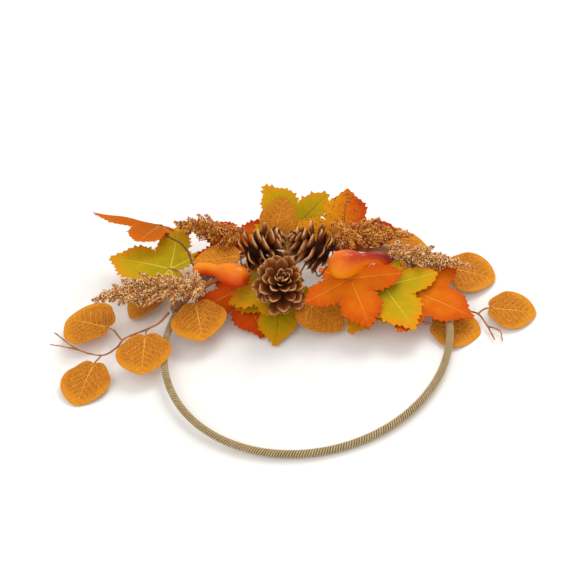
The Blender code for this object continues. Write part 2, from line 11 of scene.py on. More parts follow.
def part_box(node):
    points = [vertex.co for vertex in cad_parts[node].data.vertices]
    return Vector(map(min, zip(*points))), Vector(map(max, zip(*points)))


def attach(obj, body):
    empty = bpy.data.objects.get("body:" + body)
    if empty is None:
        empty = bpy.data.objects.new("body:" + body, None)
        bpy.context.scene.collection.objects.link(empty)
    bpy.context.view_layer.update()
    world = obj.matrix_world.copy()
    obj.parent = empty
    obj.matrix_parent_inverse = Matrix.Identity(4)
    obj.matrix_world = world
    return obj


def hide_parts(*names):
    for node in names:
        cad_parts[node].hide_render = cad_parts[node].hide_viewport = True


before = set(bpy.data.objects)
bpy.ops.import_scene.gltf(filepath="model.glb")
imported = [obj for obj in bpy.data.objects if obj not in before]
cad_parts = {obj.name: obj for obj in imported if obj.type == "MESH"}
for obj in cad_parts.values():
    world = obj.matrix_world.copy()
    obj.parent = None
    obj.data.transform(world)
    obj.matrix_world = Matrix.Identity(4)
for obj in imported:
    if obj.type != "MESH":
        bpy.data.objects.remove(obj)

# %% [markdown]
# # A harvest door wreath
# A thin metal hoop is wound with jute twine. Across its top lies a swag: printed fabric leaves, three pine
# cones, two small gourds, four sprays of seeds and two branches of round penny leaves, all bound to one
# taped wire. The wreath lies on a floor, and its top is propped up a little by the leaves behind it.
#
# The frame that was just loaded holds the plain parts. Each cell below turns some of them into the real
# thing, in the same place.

scene = bpy.context.scene
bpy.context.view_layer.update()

# %% [markdown]
# ## Two flat frames
# A wreath is easiest to lay out as if it hung flat on a wall: x to the right, y up, z towards the viewer, in
# millimetres. The hoop's own frame starts at its centre, and the swag's starts where its stem crosses the
# 12 o'clock line. One matrix then lays each frame down on the floor at the 4 degrees that the back leaves
# give it, so no piece has to know about the tilt.

# %% The hoop's and the swag's frames
MM = 0.001
TILT = math.radians(4.0)
low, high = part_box("hoop_core")
LAID = Matrix.Translation((low + high) / 2) @ Matrix.Rotation(TILT, 4, "X")
HOOP = LAID @ Matrix.Scale(MM, 4)
SWAG = HOOP @ Matrix.Translation((0, 118.5, 0))
HOOP_RADIUS = 148.5
STEM_BEND = 205.0  # the swag's stem is straighter than the hoop
STEM_HEIGHT = 7.35  # of the stem's middle above the hoop's middle
LAYERS = {"front": 10.35, "mid": 0.0, "back": -4.0}  # the stem's top, the hoop's middle and its back


def at(x, y, layer, height):
    """A place in the swag, with its height counted from one of the layers."""
    return Vector((x, y, LAYERS[layer] + height))


def stem_point(phi):
    a = math.radians(phi)
    return Vector((STEM_BEND * math.sin(a), STEM_BEND * (math.cos(a) - 1), STEM_HEIGHT))


print("hoop centre:", [round(v, 4) for v in HOOP.translation])

# %% [markdown]
# ## Camera, floor and light
# The camera looks down on the wreath at about 47 degrees from the hoop's plane, turned a little on its side,
# with a lens long enough to keep the hoop from bulging. The light is that of a white studio table: an even
# white sky, one big soft lamp beyond the wreath's right shoulder, so that the shadows fall pale and short to
# the lower left, and a matt white floor. The standard view transform shows the dyes as they were mixed.

# %% Camera
FROM_PLANE = math.radians(47.467)
DISTANCE = 1.1  # metres from the hoop's centre
ROLL, TIP, PAN = (math.radians(v) for v in (-11.396, 2.559, 0.909))
back = Vector((0, -math.cos(FROM_PLANE), math.sin(FROM_PLANE)))
up = Vector((0, math.sin(FROM_PLANE), math.cos(FROM_PLANE)))
facing = Matrix((Vector((1, 0, 0)), up, back)).transposed().to_4x4()
facing = facing @ Matrix.Rotation(ROLL, 4, "Z") @ Matrix.Rotation(TIP, 4, "X") @ Matrix.Rotation(PAN, 4, "Y")
camera = bpy.data.objects.new("camera", bpy.data.cameras.new("camera"))
camera.data.lens = 66.4
camera.matrix_world = LAID @ Matrix.Translation(back * DISTANCE) @ facing
scene.collection.objects.link(camera)
scene.camera = camera
print("camera at", [round(v, 3) for v in camera.location])


# %% Colours and one helper that adds a node
def dye(code):
    """A colour as it is written for screens, such as "C87A1E", as the light it gives back."""
    channels = [int(code[i:i + 2], 16) / 255 for i in (0, 2, 4)]
    return (*[c / 12.92 if c <= 0.04045 else ((c + 0.055) / 1.055) ** 2.4 for c in channels], 1.0)


def add(tree, kind, *feeds, out=0, stops=None, **settings):
    """Adds a node and gives back one of its outputs. Each feed goes to the input of the same number: a
    socket is linked, a value is set and None is left alone. stops are the (place, colour) of a ramp."""
    node = tree.nodes.new(kind)
    for key, value in settings.items():
        setattr(node, key, value)
    for number, feed in enumerate(feeds):
        if isinstance(feed, bpy.types.NodeSocket):
            tree.links.new(feed, node.inputs[number])
        elif feed is not None:
            node.inputs[number].default_value = feed
    if stops:
        while len(node.color_ramp.elements) < len(stops):
            node.color_ramp.elements.new(0.5)
        for element, (place, code) in zip(node.color_ramp.elements, stops):
            element.position, element.color = place, dye(code)
    return node.outputs[out]


def new_finish(name, roughness, **sockets):
    """An empty finish: its material, its tree and its shader, with what is even all over already set."""
    finish = bpy.data.materials.new(name)
    finish.use_nodes = True
    shader = finish.node_tree.nodes["Principled BSDF"]
    shader.inputs["Roughness"].default_value = roughness
    for socket, value in sockets.items():
        shader.inputs[socket.replace("_", " ")].default_value = value
    return finish, finish.node_tree, shader


def feed(tree, shader, colour, height=None, depth=0.0):
    """Gives a shader its colour and, in metres, the relief that is too fine to model."""
    tree.links.new(colour, shader.inputs["Base Color"])
    if height is not None:
        relief = add(tree, "ShaderNodeBump", 1.0, depth, None, height)
        tree.links.new(relief, shader.inputs["Normal"])


# %% Floor and lamps
floor_finish, tree, shader = new_finish("matt white table board", 0.9)
speck = add(tree, "ShaderNodeTexNoise", add(tree, "ShaderNodeTexCoord", out=3), None, 40.0, 2.0)
feed(tree, shader, add(tree, "ShaderNodeValToRGB", speck, stops=((0.3, "F4F3F2"), (0.7, "F8F7F6"))))
board = bpy.data.meshes.new("floor")
board.from_pydata([(-4, -4, 0), (4, -4, 0), (4, 4, 0), (-4, 4, 0)], [], [(0, 1, 2, 3)])
board.materials.append(floor_finish)
floor = bpy.data.objects.new("floor", board)
scene.collection.objects.link(floor)

scene.view_settings.view_transform = "Standard"
scene.world = bpy.data.worlds.new("white sky")
scene.world.use_nodes = True
scene.world.node_tree.nodes["Background"].inputs["Color"].default_value = (1.0, 0.99, 0.975, 1.0)
scene.world.node_tree.nodes["Background"].inputs["Strength"].default_value = 0.84
for name, place, width, power in (("lamp over the right shoulder", (0.75, 0.85, 1.5), 0.9, 14.0),
                                  ("lamp over the front", (-0.5, -1.2, 1.6), 1.4, 7.0)):
    lamp = bpy.data.objects.new(name, bpy.data.lights.new(name, "AREA"))
    lamp.data.size, lamp.data.energy, lamp.data.color = width, power, (1.0, 0.97, 0.93)
    lamp.location = place
    lamp.rotation_euler = Vector(place).to_track_quat("Z", "Y").to_euler()
    scene.collection.objects.link(lamp)

# %% [markdown]
# ## Shaping tools
# Wire, twigs, stalks and gourds are all the same idea: a round section carried along a path. Points and
# faces are gathered in a plain list first, and each point also gets three numbers of its own, `place`, which
# say where it is on the piece. The finishes read them, so that a print or a blush stays where it belongs
# when the piece moves.


# %% Paths
def smooth_path(points, steps):
    """A curve through all the points, with this many steps between two of them."""
    ends = [2 * points[0] - points[1]] + list(points) + [2 * points[-1] - points[-2]]
    path = []
    for a, b, c, d in zip(ends, ends[1:], ends[2:], ends[3:]):
        for k in range(steps):
            t = k / steps
            path.append(0.5 * (2 * b + (c - a) * t + (2 * a - 5 * b + 4 * c - d) * t * t
                               + (3 * b - a - 3 * c + d) * t ** 3))
    return path + [points[-1]]


def arc_path(start, leave, arrive, end, steps):
    """A curve that leaves its start and reaches its end by way of two handles."""
    path = []
    for k in range(steps + 1):
        t = k / steps
        path.append((1 - t) ** 3 * start + 3 * t * (1 - t) ** 2 * leave + 3 * t * t * (1 - t) * arrive
                    + t ** 3 * end)
    return path


def crinkle(path, amount, seed):
    """Shakes a path's inner points a little, as paper twists and twigs do."""
    rng = random.Random(seed)
    shaken = [p + Vector([rng.uniform(-amount, amount) for _ in range(3)]) for p in path]
    return [path[0]] + shaken[1:-1] + [path[-1]]


# %% Round sections along a path
def start_shape():
    return {"points": [], "faces": [], "finish": [], "place": []}


def add_faces(shape, faces, finish):
    shape["faces"] += faces
    shape["finish"] += [finish] * len(faces)


def add_round(shape, path, radii, sides=10, finish=0, relief=None):
    """A closed round bar along a path. radii is one number or one for each point, and relief(way, turn) is
    what the surface adds to it, way millimetres along and turn (0 to 1) around. place: way, turn, how far
    the point is above the bar's middle."""
    radii = radii if hasattr(radii, "__len__") else [radii] * len(path)
    first = len(shape["points"])
    side, way = None, 0.0
    for i, (centre, radius) in enumerate(zip(path, radii)):
        along = (path[min(i + 1, len(path) - 1)] - path[max(i - 1, 0)]).normalized()
        if side is None:
            side = along.cross(Vector((0, 0, 1)))
            side = side if side.length > 0.1 else along.cross(Vector((0, 1, 0)))
        side = (side - along * side.dot(along)).normalized()
        other = along.cross(side)
        way += (centre - path[i - 1]).length if i else 0.0
        for k in range(sides):
            a = 2 * math.pi * k / sides
            out = math.cos(a) * side + math.sin(a) * other
            reach = radius + (relief(way, k / sides) if relief else 0.0)
            shape["points"].append(centre + reach * out)
            shape["place"].append((way, k / sides, out.z))
    faces = []
    for i in range(len(path) - 1):
        a, b = first + i * sides, first + (i + 1) * sides
        faces += [(a + k, a + (k + 1) % sides, b + (k + 1) % sides, b + k) for k in range(sides)]
    last = first + (len(path) - 1) * sides
    faces += [tuple(range(first, first + sides)), tuple(range(last + sides - 1, last - 1, -1))]
    add_faces(shape, faces, finish)


def as_mesh(name, shape, finishes):
    """The gathered points and faces as a mesh, with its faces turned outward."""
    mesh = bpy.data.meshes.new(name)
    mesh.from_pydata(shape["points"], [], shape["faces"])
    for finish in finishes:
        mesh.materials.append(finish)
    mesh.polygons.foreach_set("material_index", shape["finish"])
    place = mesh.attributes.new("place", "FLOAT_VECTOR", "POINT")
    place.data.foreach_set("vector", np.array(shape["place"], np.float32).ravel())
    bm = bmesh.new()
    bm.from_mesh(mesh)
    bmesh.ops.recalc_face_normals(bm, faces=bm.faces)
    bm.to_mesh(mesh)
    bm.free()
    return mesh


def hang(name, mesh, body, nodes, frame_of=SWAG, crease=50):
    """Lays a finished mesh down in its place as one piece that rides on a body and stands for its plain
    nodes."""
    mesh.transform(frame_of)
    mesh.shade_smooth()
    mesh.set_sharp_from_angle(angle=math.radians(crease))
    piece = bpy.data.objects.new(name, mesh)
    scene.collection.objects.link(piece)
    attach(piece, body)
    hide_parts(*nodes)
    print(f"{name}: {len(mesh.polygons)} faces on {body}")
    return piece


# %% Growing a piece with a node tree
def start_tree(name, inputs):
    """A geometry tree with named inputs, its group input and a function that ends it."""
    tree = bpy.data.node_groups.new(name, "GeometryNodeTree")
    tree.interface.new_socket("Geometry", in_out="INPUT", socket_type="NodeSocketGeometry")
    for title, kind in inputs:
        tree.interface.new_socket(title, in_out="INPUT", socket_type="NodeSocket" + kind)
    tree.interface.new_socket("Geometry", in_out="OUTPUT", socket_type="NodeSocketGeometry")
    given = tree.nodes.new("NodeGroupInput").outputs

    def end(geometry):
        tree.links.new(geometry, tree.nodes.new("NodeGroupOutput").inputs[0])

    return tree, given, end


def grow(data, tree, values):
    """Runs a tree on a mesh or a curve and gives back the result as a plain mesh."""
    seedling = bpy.data.objects.new("seedling", data)
    scene.collection.objects.link(seedling)
    modifier = seedling.modifiers.new("grow", "NODES")
    modifier.node_group = tree
    for item in tree.interface.items_tree:
        if item.name in values:
            modifier[item.identifier] = values[item.name]
    ready = bpy.context.evaluated_depsgraph_get()
    grown = bpy.data.meshes.new_from_object(seedling.evaluated_get(ready), depsgraph=ready)
    bpy.data.objects.remove(seedling)
    return grown


# %% [markdown]
# ## The jute round the hoop
# The hoop is dressed with four strands of jute laid side by side and wound on together, which is why the
# ribs lean. A tube with a striped colour would look flat at its edges, so the twine itself is made. Four
# strands that close on themselves are one single curve, a knot on a ring: it goes round the hoop four times
# while it goes round the wire an odd number of times, and so every lap falls beside the last one.

# %% Finish: soft natural jute twine, with painted shade along its plies and in its grooves
jute, tree, shader = new_finish("natural jute twine, loosely twisted", 0.92, Sheen_Weight=0.25)
wound = add(tree, "ShaderNodeAttribute", out=1, attribute_name="place")
way = add(tree, "ShaderNodeSeparateXYZ", wound)
turn = add(tree, "ShaderNodeSeparateXYZ", wound, out=1)
proud = add(tree, "ShaderNodeSeparateXYZ", wound, out=2)
lean = add(tree, "ShaderNodeMath", add(tree, "ShaderNodeMath", way, 0.45, operation="MULTIPLY"),
           add(tree, "ShaderNodeMath", turn, 2.0, operation="MULTIPLY"), operation="ADD")
ply = add(tree, "ShaderNodeMath", add(tree, "ShaderNodeMath", lean, 2 * math.pi, operation="MULTIPLY"),
          operation="SINE")
place = add(tree, "ShaderNodeTexCoord", out=3)
fibre = add(tree, "ShaderNodeTexNoise", place, None, 1500.0, 4.0, 0.7)
patch = add(tree, "ShaderNodeTexNoise", place, None, 90.0, 2.0)
tone = add(tree, "ShaderNodeMath", add(tree, "ShaderNodeMath", fibre, 0.75, operation="MULTIPLY"),
           add(tree, "ShaderNodeMath", patch, 0.45, operation="MULTIPLY"), operation="ADD")
colour = add(tree, "ShaderNodeValToRGB", tone,
             stops=((0.30, "A0824E"), (0.52, "D2B27A"), (0.70, "E8D09C"), (0.9, "F2E4BE")))
# Painted shade: one side of each ply's twist is darkened, as the twisted plies would shade themselves; the
# same ply wave also gives the bump.
ply_painted_shade = add(tree, "ShaderNodeMapRange", ply, -1.0, 1.0, 0.0, 0.25)
colour = add(tree, "ShaderNodeMixRGB", ply_painted_shade, colour, dye("A58452"))
# Painted shade: the twine is darkened towards dark brown where its surface lies close to the wire, on its
# sides and in the grooves between laps, where shade falls.
painted_groove_shade = add(tree, "ShaderNodeMapRange", proud, 3.3, 4.0, 1.0, 0.0)
height = add(tree, "ShaderNodeMath", ply, fibre, operation="ADD")
feed(tree, shader, add(tree, "ShaderNodeMixRGB", painted_groove_shade, colour, dye("54401E")), height, 0.00012)

# %% One curve wound round the ring, with a round profile
TWINE = 2.25  # millimetres thick
LAPS, TURNS, STEPS = 4, 367, 12
tree, given, end = start_tree("jute twine", (("Ring radius", "Float"), ("Winding radius", "Float"),
                                             ("Twine radius", "Float"), ("Laps", "Int"), ("Turns", "Int"),
                                             ("Steps in a turn", "Int"), ("Finish", "Material")))
count = add(tree, "ShaderNodeMath", given["Turns"], given["Steps in a turn"], operation="MULTIPLY")
line = add(tree, "GeometryNodeMeshToCurve", add(tree, "GeometryNodeMeshLine", count))
part = add(tree, "ShaderNodeMath", add(tree, "GeometryNodeInputIndex"), count, operation="DIVIDE")
full = add(tree, "ShaderNodeMath", part, 2 * math.pi, operation="MULTIPLY")
lap = add(tree, "ShaderNodeMath", full, given["Laps"], operation="MULTIPLY")
winding = add(tree, "ShaderNodeMath", full, given["Turns"], operation="MULTIPLY")


def swing(angle, reach, kind):
    """reach times the sine or cosine of an angle."""
    return add(tree, "ShaderNodeMath", add(tree, "ShaderNodeMath", angle, operation=kind), reach,
               operation="MULTIPLY")


reach = add(tree, "ShaderNodeMath", given["Ring radius"], swing(winding, given["Winding radius"], "COSINE"),
            operation="ADD")
spot = add(tree, "ShaderNodeCombineXYZ", swing(lap, reach, "COSINE"), swing(lap, reach, "SINE"),
           swing(winding, given["Winding radius"], "SINE"))
curve = add(tree, "GeometryNodeSetPosition", add(tree, "GeometryNodeSetSplineCyclic", line, None, True),
            None, spot)
length = add(tree, "ShaderNodeMath", winding, given["Winding radius"], operation="MULTIPLY")
curve = add(tree, "GeometryNodeStoreNamedAttribute", curve, None, "way", length)
profile = add(tree, "GeometryNodeCurvePrimitiveCircle", 6, None, None, None, given["Twine radius"])
profile = add(tree, "GeometryNodeStoreNamedAttribute", profile, None, "turn",
              add(tree, "GeometryNodeSplineParameter"))
twine = add(tree, "GeometryNodeCurveToMesh", curve, profile)
spot = add(tree, "GeometryNodeInputPosition")
from_ring = add(tree, "ShaderNodeMath", add(tree, "ShaderNodeVectorMath", add(
    tree, "ShaderNodeVectorMath", spot, (1, 1, 0), operation="MULTIPLY"), out=1, operation="LENGTH"),
    given["Ring radius"], operation="SUBTRACT")
proud = add(tree, "ShaderNodeVectorMath", add(tree, "ShaderNodeCombineXYZ", from_ring, add(
    tree, "ShaderNodeSeparateXYZ", spot, out=2)), out=1, operation="LENGTH")
both = add(tree, "ShaderNodeCombineXYZ", add(tree, "GeometryNodeInputNamedAttribute", "way"),
           add(tree, "GeometryNodeInputNamedAttribute", "turn"), proud)
twine = add(tree, "GeometryNodeStoreNamedAttribute", twine, None, "place", both, data_type="FLOAT_VECTOR")
end(add(tree, "GeometryNodeSetMaterial", add(tree, "GeometryNodeRealizeInstances", twine), None,
        given["Finish"]))

twine = grow(bpy.data.meshes.new("twine"), tree, {
    "Ring radius": HOOP_RADIUS, "Winding radius": 4.0 - TWINE / 2, "Twine radius": TWINE / 2, "Laps": LAPS,
    "Turns": TURNS, "Steps in a turn": STEPS, "Finish": jute})
hang("jute_twine_on_hoop", twine, "wreath", ["jute_wrap"], HOOP, crease=180)

# %% [markdown]
# ## Wires and paper tape
# The hoop, the swag's stem, the picks of the cones and gourds and the ties are drawn steel wire, so their
# plain round bars already have the right shape and only need a finish. The swag's stem is wound with brown
# paper tape that laps over itself: each turn leaves a small step, which runs round the bar like a screw
# thread. That step is cheap to make as a radius that grows along the bar and drops once in each turn.

# %% Finish: drawn steel wire, a little oxidised
steel, tree, shader = new_finish("drawn steel wire, slightly oxidised", 0.4, Metallic=1.0)
place = add(tree, "ShaderNodeTexCoord", out=3)
stain = add(tree, "ShaderNodeTexNoise", place, None, 260.0, 3.0)
drawn = add(tree, "ShaderNodeTexNoise", place, None, 2200.0, 2.0)
feed(tree, shader, add(tree, "ShaderNodeValToRGB", stain,
                       stops=((0.35, "6E6660"), (0.55, "938A80"), (0.8, "7A5A40"))), drawn, 0.00004)
for node in ("hoop_core", "swag_wire", "cone_pick_front", "cone_pick_left", "cone_pick_right",
             "gourd_pick_left", "gourd_pick_right", "tie_wire_left_1", "tie_wire_left_2",
             "tie_wire_right_1", "tie_wire_right_2"):
    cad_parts[node].data.materials.clear()
    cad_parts[node].data.materials.append(steel)

# %% Finish: crinkled brown paper tape
tape, tree, shader = new_finish("crinkled brown paper tape", 0.8)
place = add(tree, "ShaderNodeTexCoord", out=3)
fold = add(tree, "ShaderNodeTexNoise", place, None, 700.0, 4.0, 0.65)
worn = add(tree, "ShaderNodeTexNoise", place, None, 120.0, 2.0)
tone = add(tree, "ShaderNodeMath", fold, worn, operation="MULTIPLY")
feed(tree, shader, add(tree, "ShaderNodeValToRGB", tone,
                       stops=((0.12, "7A4520"), (0.25, "AC6834"), (0.42, "C8864C"))), fold, 0.0003)
for node in ("spray_stalk_copper", "spray_stalk_cream_left", "spray_stalk_cream_right",
             "spray_stalk_gold"):
    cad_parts[node].data.materials.clear()
    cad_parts[node].data.materials.append(tape)

# %% The swag's stem, wound with tape
TAPE_PITCH = 7.0  # millimetres from one turn of the tape to the next


def tape_step(way, turn):
    return 0.22 * ((way / TAPE_PITCH - turn) % 1.0)


stem = start_shape()
path = [stem_point(-40.85 + 81.7 * k / 300) for k in range(301)]
add_round(stem, path, 2.95, sides=20, relief=tape_step)
hang("paper_tape_on_stem", as_mesh("paper_tape_on_stem", stem, [tape]), "wreath", ["swag_tape"])

# %% [markdown]
# ## How a leaf is made
# The leaves are polyester cloth: cut out with a toothed die, printed, and hot-pressed so that the veins lie
# in shallow grooves and the cloth between them stands up in soft ripples. A flat card with a picture would
# miss the grooves and the toothed edge, and a sculpted leaf would miss the thinness of the cloth. So each
# leaf is one thin sheet. Its outline gets the teeth, its inside is filled with an even net of points, with a
# row of them along each main vein, and one function lifts every point as the press would.
#
# Veins are straight, or nearly, and they branch at a steady angle. So a point's place on the leaf is enough
# to tell how far it is from a vein. The press and the print both use that rule.

# %% The outline of a maple leaf, with its teeth
def maple_outline(length, lower, tooth=2.9, pitch=6.2, seed="leaf"):
    """Half of a five-lobed leaf, from its tip to its stalk. lower is how far its lowest lobes reach."""
    corners = ((0, 1.0), (9, 0.86), (20, 0.78), (30, 0.66), (38, 0.46), (50, 0.60), (61, 0.75), (75, 0.87),
               (89, 0.73), (99, 0.55), (106, 0.36), (118, 0.82 * lower), (128, lower), (140, 0.70 * lower),
               (156, 0.42 * lower), (172, 0.12))
    rng = random.Random(seed)
    corners = [Vector((math.cos(math.radians(a)), math.sin(math.radians(a)))) * length * r
               for a, r in corners]
    edge = []
    for a, b in zip(corners, corners[1:]):
        edge.append(a)
        side = b - a
        outward = Vector((side.y, -side.x)).normalized()
        toward_tip = b.length < a.length  # on the way down from a lobe's tip the teeth look back at it
        teeth = max(1, round(side.length / pitch))
        for k in range(teeth):
            step = side / teeth
            size = tooth * rng.choice((0.45, 0.8, 1.0, 1.5)) * min(1.0, side.length / pitch)
            if toward_tip:
                edge += [a + step * (k + 0.22) + outward * size,
                         a + step * (k + 0.88) + outward * 0.1 * size]
            else:
                edge += [a + step * (k + 0.12) + outward * 0.1 * size,
                         a + step * (k + 0.78) + outward * size]
    return edge + [corners[-1]]


# %% The outline of a penny or a rose leaf
def round_outline(length, kind, seed="leaf"):
    """Half of a rounded leaf with an even edge. A penny leaf is as wide as it is long, and its two sides
    stand back a little behind its stalk, like the top of a heart."""
    wide, skew, full, back = {"penny": (1.12, 0.86, 0.62, 0.085), "rose": (0.92, 0.80, 0.76, 0.02)}[kind]
    rng = random.Random(seed)
    lean = rng.uniform(0, math.pi)
    edge = []
    for k in range(34):
        s = 0.5 + 0.5 * math.cos(math.pi * k / 34)
        half = wide / 2 * math.sin(math.pi * s ** skew) ** full if k else 0.0
        half *= 1 + 0.012 * math.sin(9 * s + lean)
        behind = back * math.sin(math.pi * min(1.0, 2.4 * half)) * max(0.0, 1 - 3 * s)
        edge.append(Vector((length * (s - behind), length * half)))
    return edge


# %% Where the veins run
# Up to the first angle of each pair, from the midrib, the nearest main vein is at the second angle
LOBES = ((37, 0), (104, 76), (181, 128))


def maple_vein(x, y):
    """How far a point is along the nearest main vein of a maple leaf, and how far beside it."""
    angle = np.degrees(np.arctan2(np.abs(y), x))
    ray = np.select([angle < LOBES[0][0], angle < LOBES[1][0]], [LOBES[0][1], LOBES[1][1]], LOBES[2][1])
    ray = np.radians(ray)
    return (x * np.cos(ray) + np.abs(y) * np.sin(ray),
            np.abs(np.abs(y) * np.cos(ray) - x * np.sin(ray)))


def press(x, y, length, kind, fold, seed):
    """How high the hot press leaves each point of a leaf, in millimetres."""
    rng = random.Random(seed)
    height = (0.03 * y * y - 0.06 * x * np.abs(x)) / length - fold * np.abs(y)
    if kind == "maple":
        along, beside = maple_vein(x, y)
        pitch, lean, painted_groove_shade = 0.2 * length, 0.8, 0.9
    else:
        along, beside = x, np.abs(y)
        pitch, lean, painted_groove_shade = 0.135 * length, 0.75, 0.7
    reach = np.clip(1.1 - along / length, 0.1, 1.0)
    height = height - painted_groove_shade * reach * np.exp(-beside / 1.2)
    ripple = np.cos(2 * math.pi * (along - lean * beside) / pitch)
    height = height - 0.22 * reach * ripple * np.clip(beside / 3.0, 0, 1)
    for k in range(3):
        way = rng.uniform(0, 2 * math.pi)
        wave = (x * math.cos(way) + y * math.sin(way)) * 2 * math.pi / (length * rng.uniform(0.45, 0.9))
        height = height + 0.35 * np.sin(wave + rng.uniform(0, 6)) * np.clip(np.hypot(x, y) / 20, 0, 1)
    return height


# %% A sheet of cloth inside an outline
NET = 1.5  # millimetres between the points of a leaf


def inside(points, outline):
    """Which points are inside an outline, and how far each is from it."""
    ends = np.roll(outline, -1, axis=0)
    crossings = np.zeros(len(points), int)
    nearest = np.full(len(points), 1e9)
    for a, b in zip(outline, ends):
        straddles = (a[1] > points[:, 1]) != (b[1] > points[:, 1])
        slope = (b[0] - a[0]) / (b[1] - a[1]) if b[1] != a[1] else 0.0
        crossings += straddles & (points[:, 0] < a[0] + (points[:, 1] - a[1]) * slope)
        side = b - a
        share = np.clip((points - a) @ side / max(side @ side, 1e-9), 0, 1)
        nearest = np.minimum(nearest, np.hypot(*(points - a - share[:, None] * side).T))
    return crossings % 2 == 1, nearest


def cut_cloth(half, length, kind):
    """The points and triangles of a flat leaf, and how far each point is from the leaf's edge."""
    outline = np.array([tuple(p) for p in half] + [(p.x, -p.y) for p in reversed(half[1:])])
    reach = length * 1.1
    xs, ys = np.meshgrid(np.arange(-reach, reach, NET), np.arange(-reach, reach, NET * 0.866))
    xs = xs + (np.arange(len(xs)) % 2 * NET / 2)[:, None]
    net = np.column_stack([xs.ravel(), ys.ravel()])
    if kind == "maple":
        along, beside = maple_vein(*net.T)
    else:
        along, beside = net[:, 0], np.abs(net[:, 1])
    net = net[beside > 0.75 * NET]
    rays = [0, 76, -76, 128, -128] if kind == "maple" else [0]
    for ray in rays:
        way = np.arange(NET, reach, NET)
        line = np.column_stack([way * math.cos(math.radians(ray)), way * math.sin(math.radians(ray))])
        net = np.vstack([net, line])
    within, margin = inside(net, outline)
    net = net[within & (margin > 0.6)]
    spots = [Vector(p) for p in np.vstack([outline, net])]
    spots, _, faces, *_ = delaunay_2d_cdt(spots, [], [list(range(len(outline)))], 1, 1e-6)
    flat = np.array([tuple(p) for p in spots])
    return flat, [tuple(f) for f in faces], inside(flat, outline)[1]


def add_cloth(shape, half, length, kind, turn, fold=0.0, narrow=1.0, thick=0.5, seed="leaf"):
    """A pressed sheet of cloth with a front, a back and a cut edge. turn is the matrix that puts it in the
    swag. place: along the leaf and across it in shares of its length, and millimetres from its edge."""
    flat, faces, margin = cut_cloth([Vector((p.x, narrow * p.y)) for p in half], length, kind)
    x, y = flat.T
    points = np.column_stack([x, y, press(x, y / narrow, length, kind, fold, seed)])
    corners = points[np.array(faces)]
    facing = np.cross(corners[:, 1] - corners[:, 0], corners[:, 2] - corners[:, 0])
    faces = [f if n[2] > 0 else f[::-1] for f, n in zip(faces, facing)]
    facing[facing[:, 2] < 0] *= -1
    normal = np.zeros_like(points)
    for f, n in zip(faces, facing):
        for k in f:
            normal[k] += n
    normal /= np.linalg.norm(normal, axis=1)[:, None]
    first, count = len(shape["points"]), len(points)
    for side in (0.5, -0.5):
        shape["points"] += [turn @ Vector(p) for p in points + side * thick * normal]
        shape["place"] += [tuple(p) for p in np.column_stack([x / length, y / narrow / length, margin])]
    sides = {}
    for f in faces:
        for a, b in zip(f, f[1:] + f[:1]):
            sides[(a, b)] = True
    rim = [(a, b) for a, b in sides if (b, a) not in sides]
    add_faces(shape, [tuple(first + k for k in f) for f in faces], 0)
    add_faces(shape, [tuple(first + count + k for k in reversed(f)) for f in faces], 1)
    add_faces(shape, [(first + b, first + a, first + count + a, first + count + b) for a, b in rim], 0)
    return points


# %% A whole leaf with its stalk
def leaf(name, kind, length, base, heading, pitch, roll, bound, finishes, body, slot, pull=1.0, lower=0.60,
         narrow=1.0, fold=0.0, tooth=2.9):
    """A leaf whose blade starts at base and points at heading, seen from the front, and whose stalk comes
    from bound: a place and the way it leaves."""
    turn = Matrix.Rotation(math.radians(heading), 4, "Z") @ Matrix.Rotation(math.radians(-pitch), 4, "Y")
    turn = Matrix.Translation(base) @ turn @ Matrix.Rotation(math.radians(roll), 4, "X")
    ahead = (turn.to_3x3() @ Vector((1, 0, 0))).normalized()
    under = (turn.to_3x3() @ Vector((0, 0, -1))).normalized()
    half = (maple_outline(length, lower, tooth, seed=name) if kind == "maple"
            else round_outline(length, kind, seed=name))
    if kind != "maple":
        half.append(Vector((0.0, 0.9)))
    else:
        half.append(Vector((-0.5, 0.8)))
    shape = start_shape()
    add_cloth(shape, half, length, kind, turn, fold, narrow, seed=name)
    start, leave = bound
    reach = (base - start).length * 0.4
    level = Vector((ahead.x, ahead.y, 0)).normalized()
    path = arc_path(start, start + leave * reach * pull, base - level * reach, base + under * 0.3, 10)
    path += [base + ahead * k + under * (0.75 + 0.06 * k) for k in (3, 7, 12)]
    add_round(shape, path, [0.95] * 8 + [0.85, 0.8, 0.75] + [0.65, 0.5, 0.25], sides=8, finish=2)
    return hang(name + "_cloth", as_mesh(name, shape, finishes), body, [name], crease=60)

# %% [markdown]
# ## Printed leaf cloth
# The print follows the pressed veins, so the finish works out the same two distances as the press, from the
# point's place on the leaf: how far along the nearest main vein and how far beside it. A thin line where
# `beside` is near nothing is the main vein. Lines of equal `along - beside` are the side veins. The dye runs
# from the heart of the leaf to its edge and tips, a fine net of veins breaks it up, and the weave shows as
# tiny relief. The back of the cloth takes less dye, so it is the same print, paler.


# %% The rule of the veins, as nodes
def math_node(tree, operation, *feeds):
    return add(tree, "ShaderNodeMath", *feeds, operation=operation)


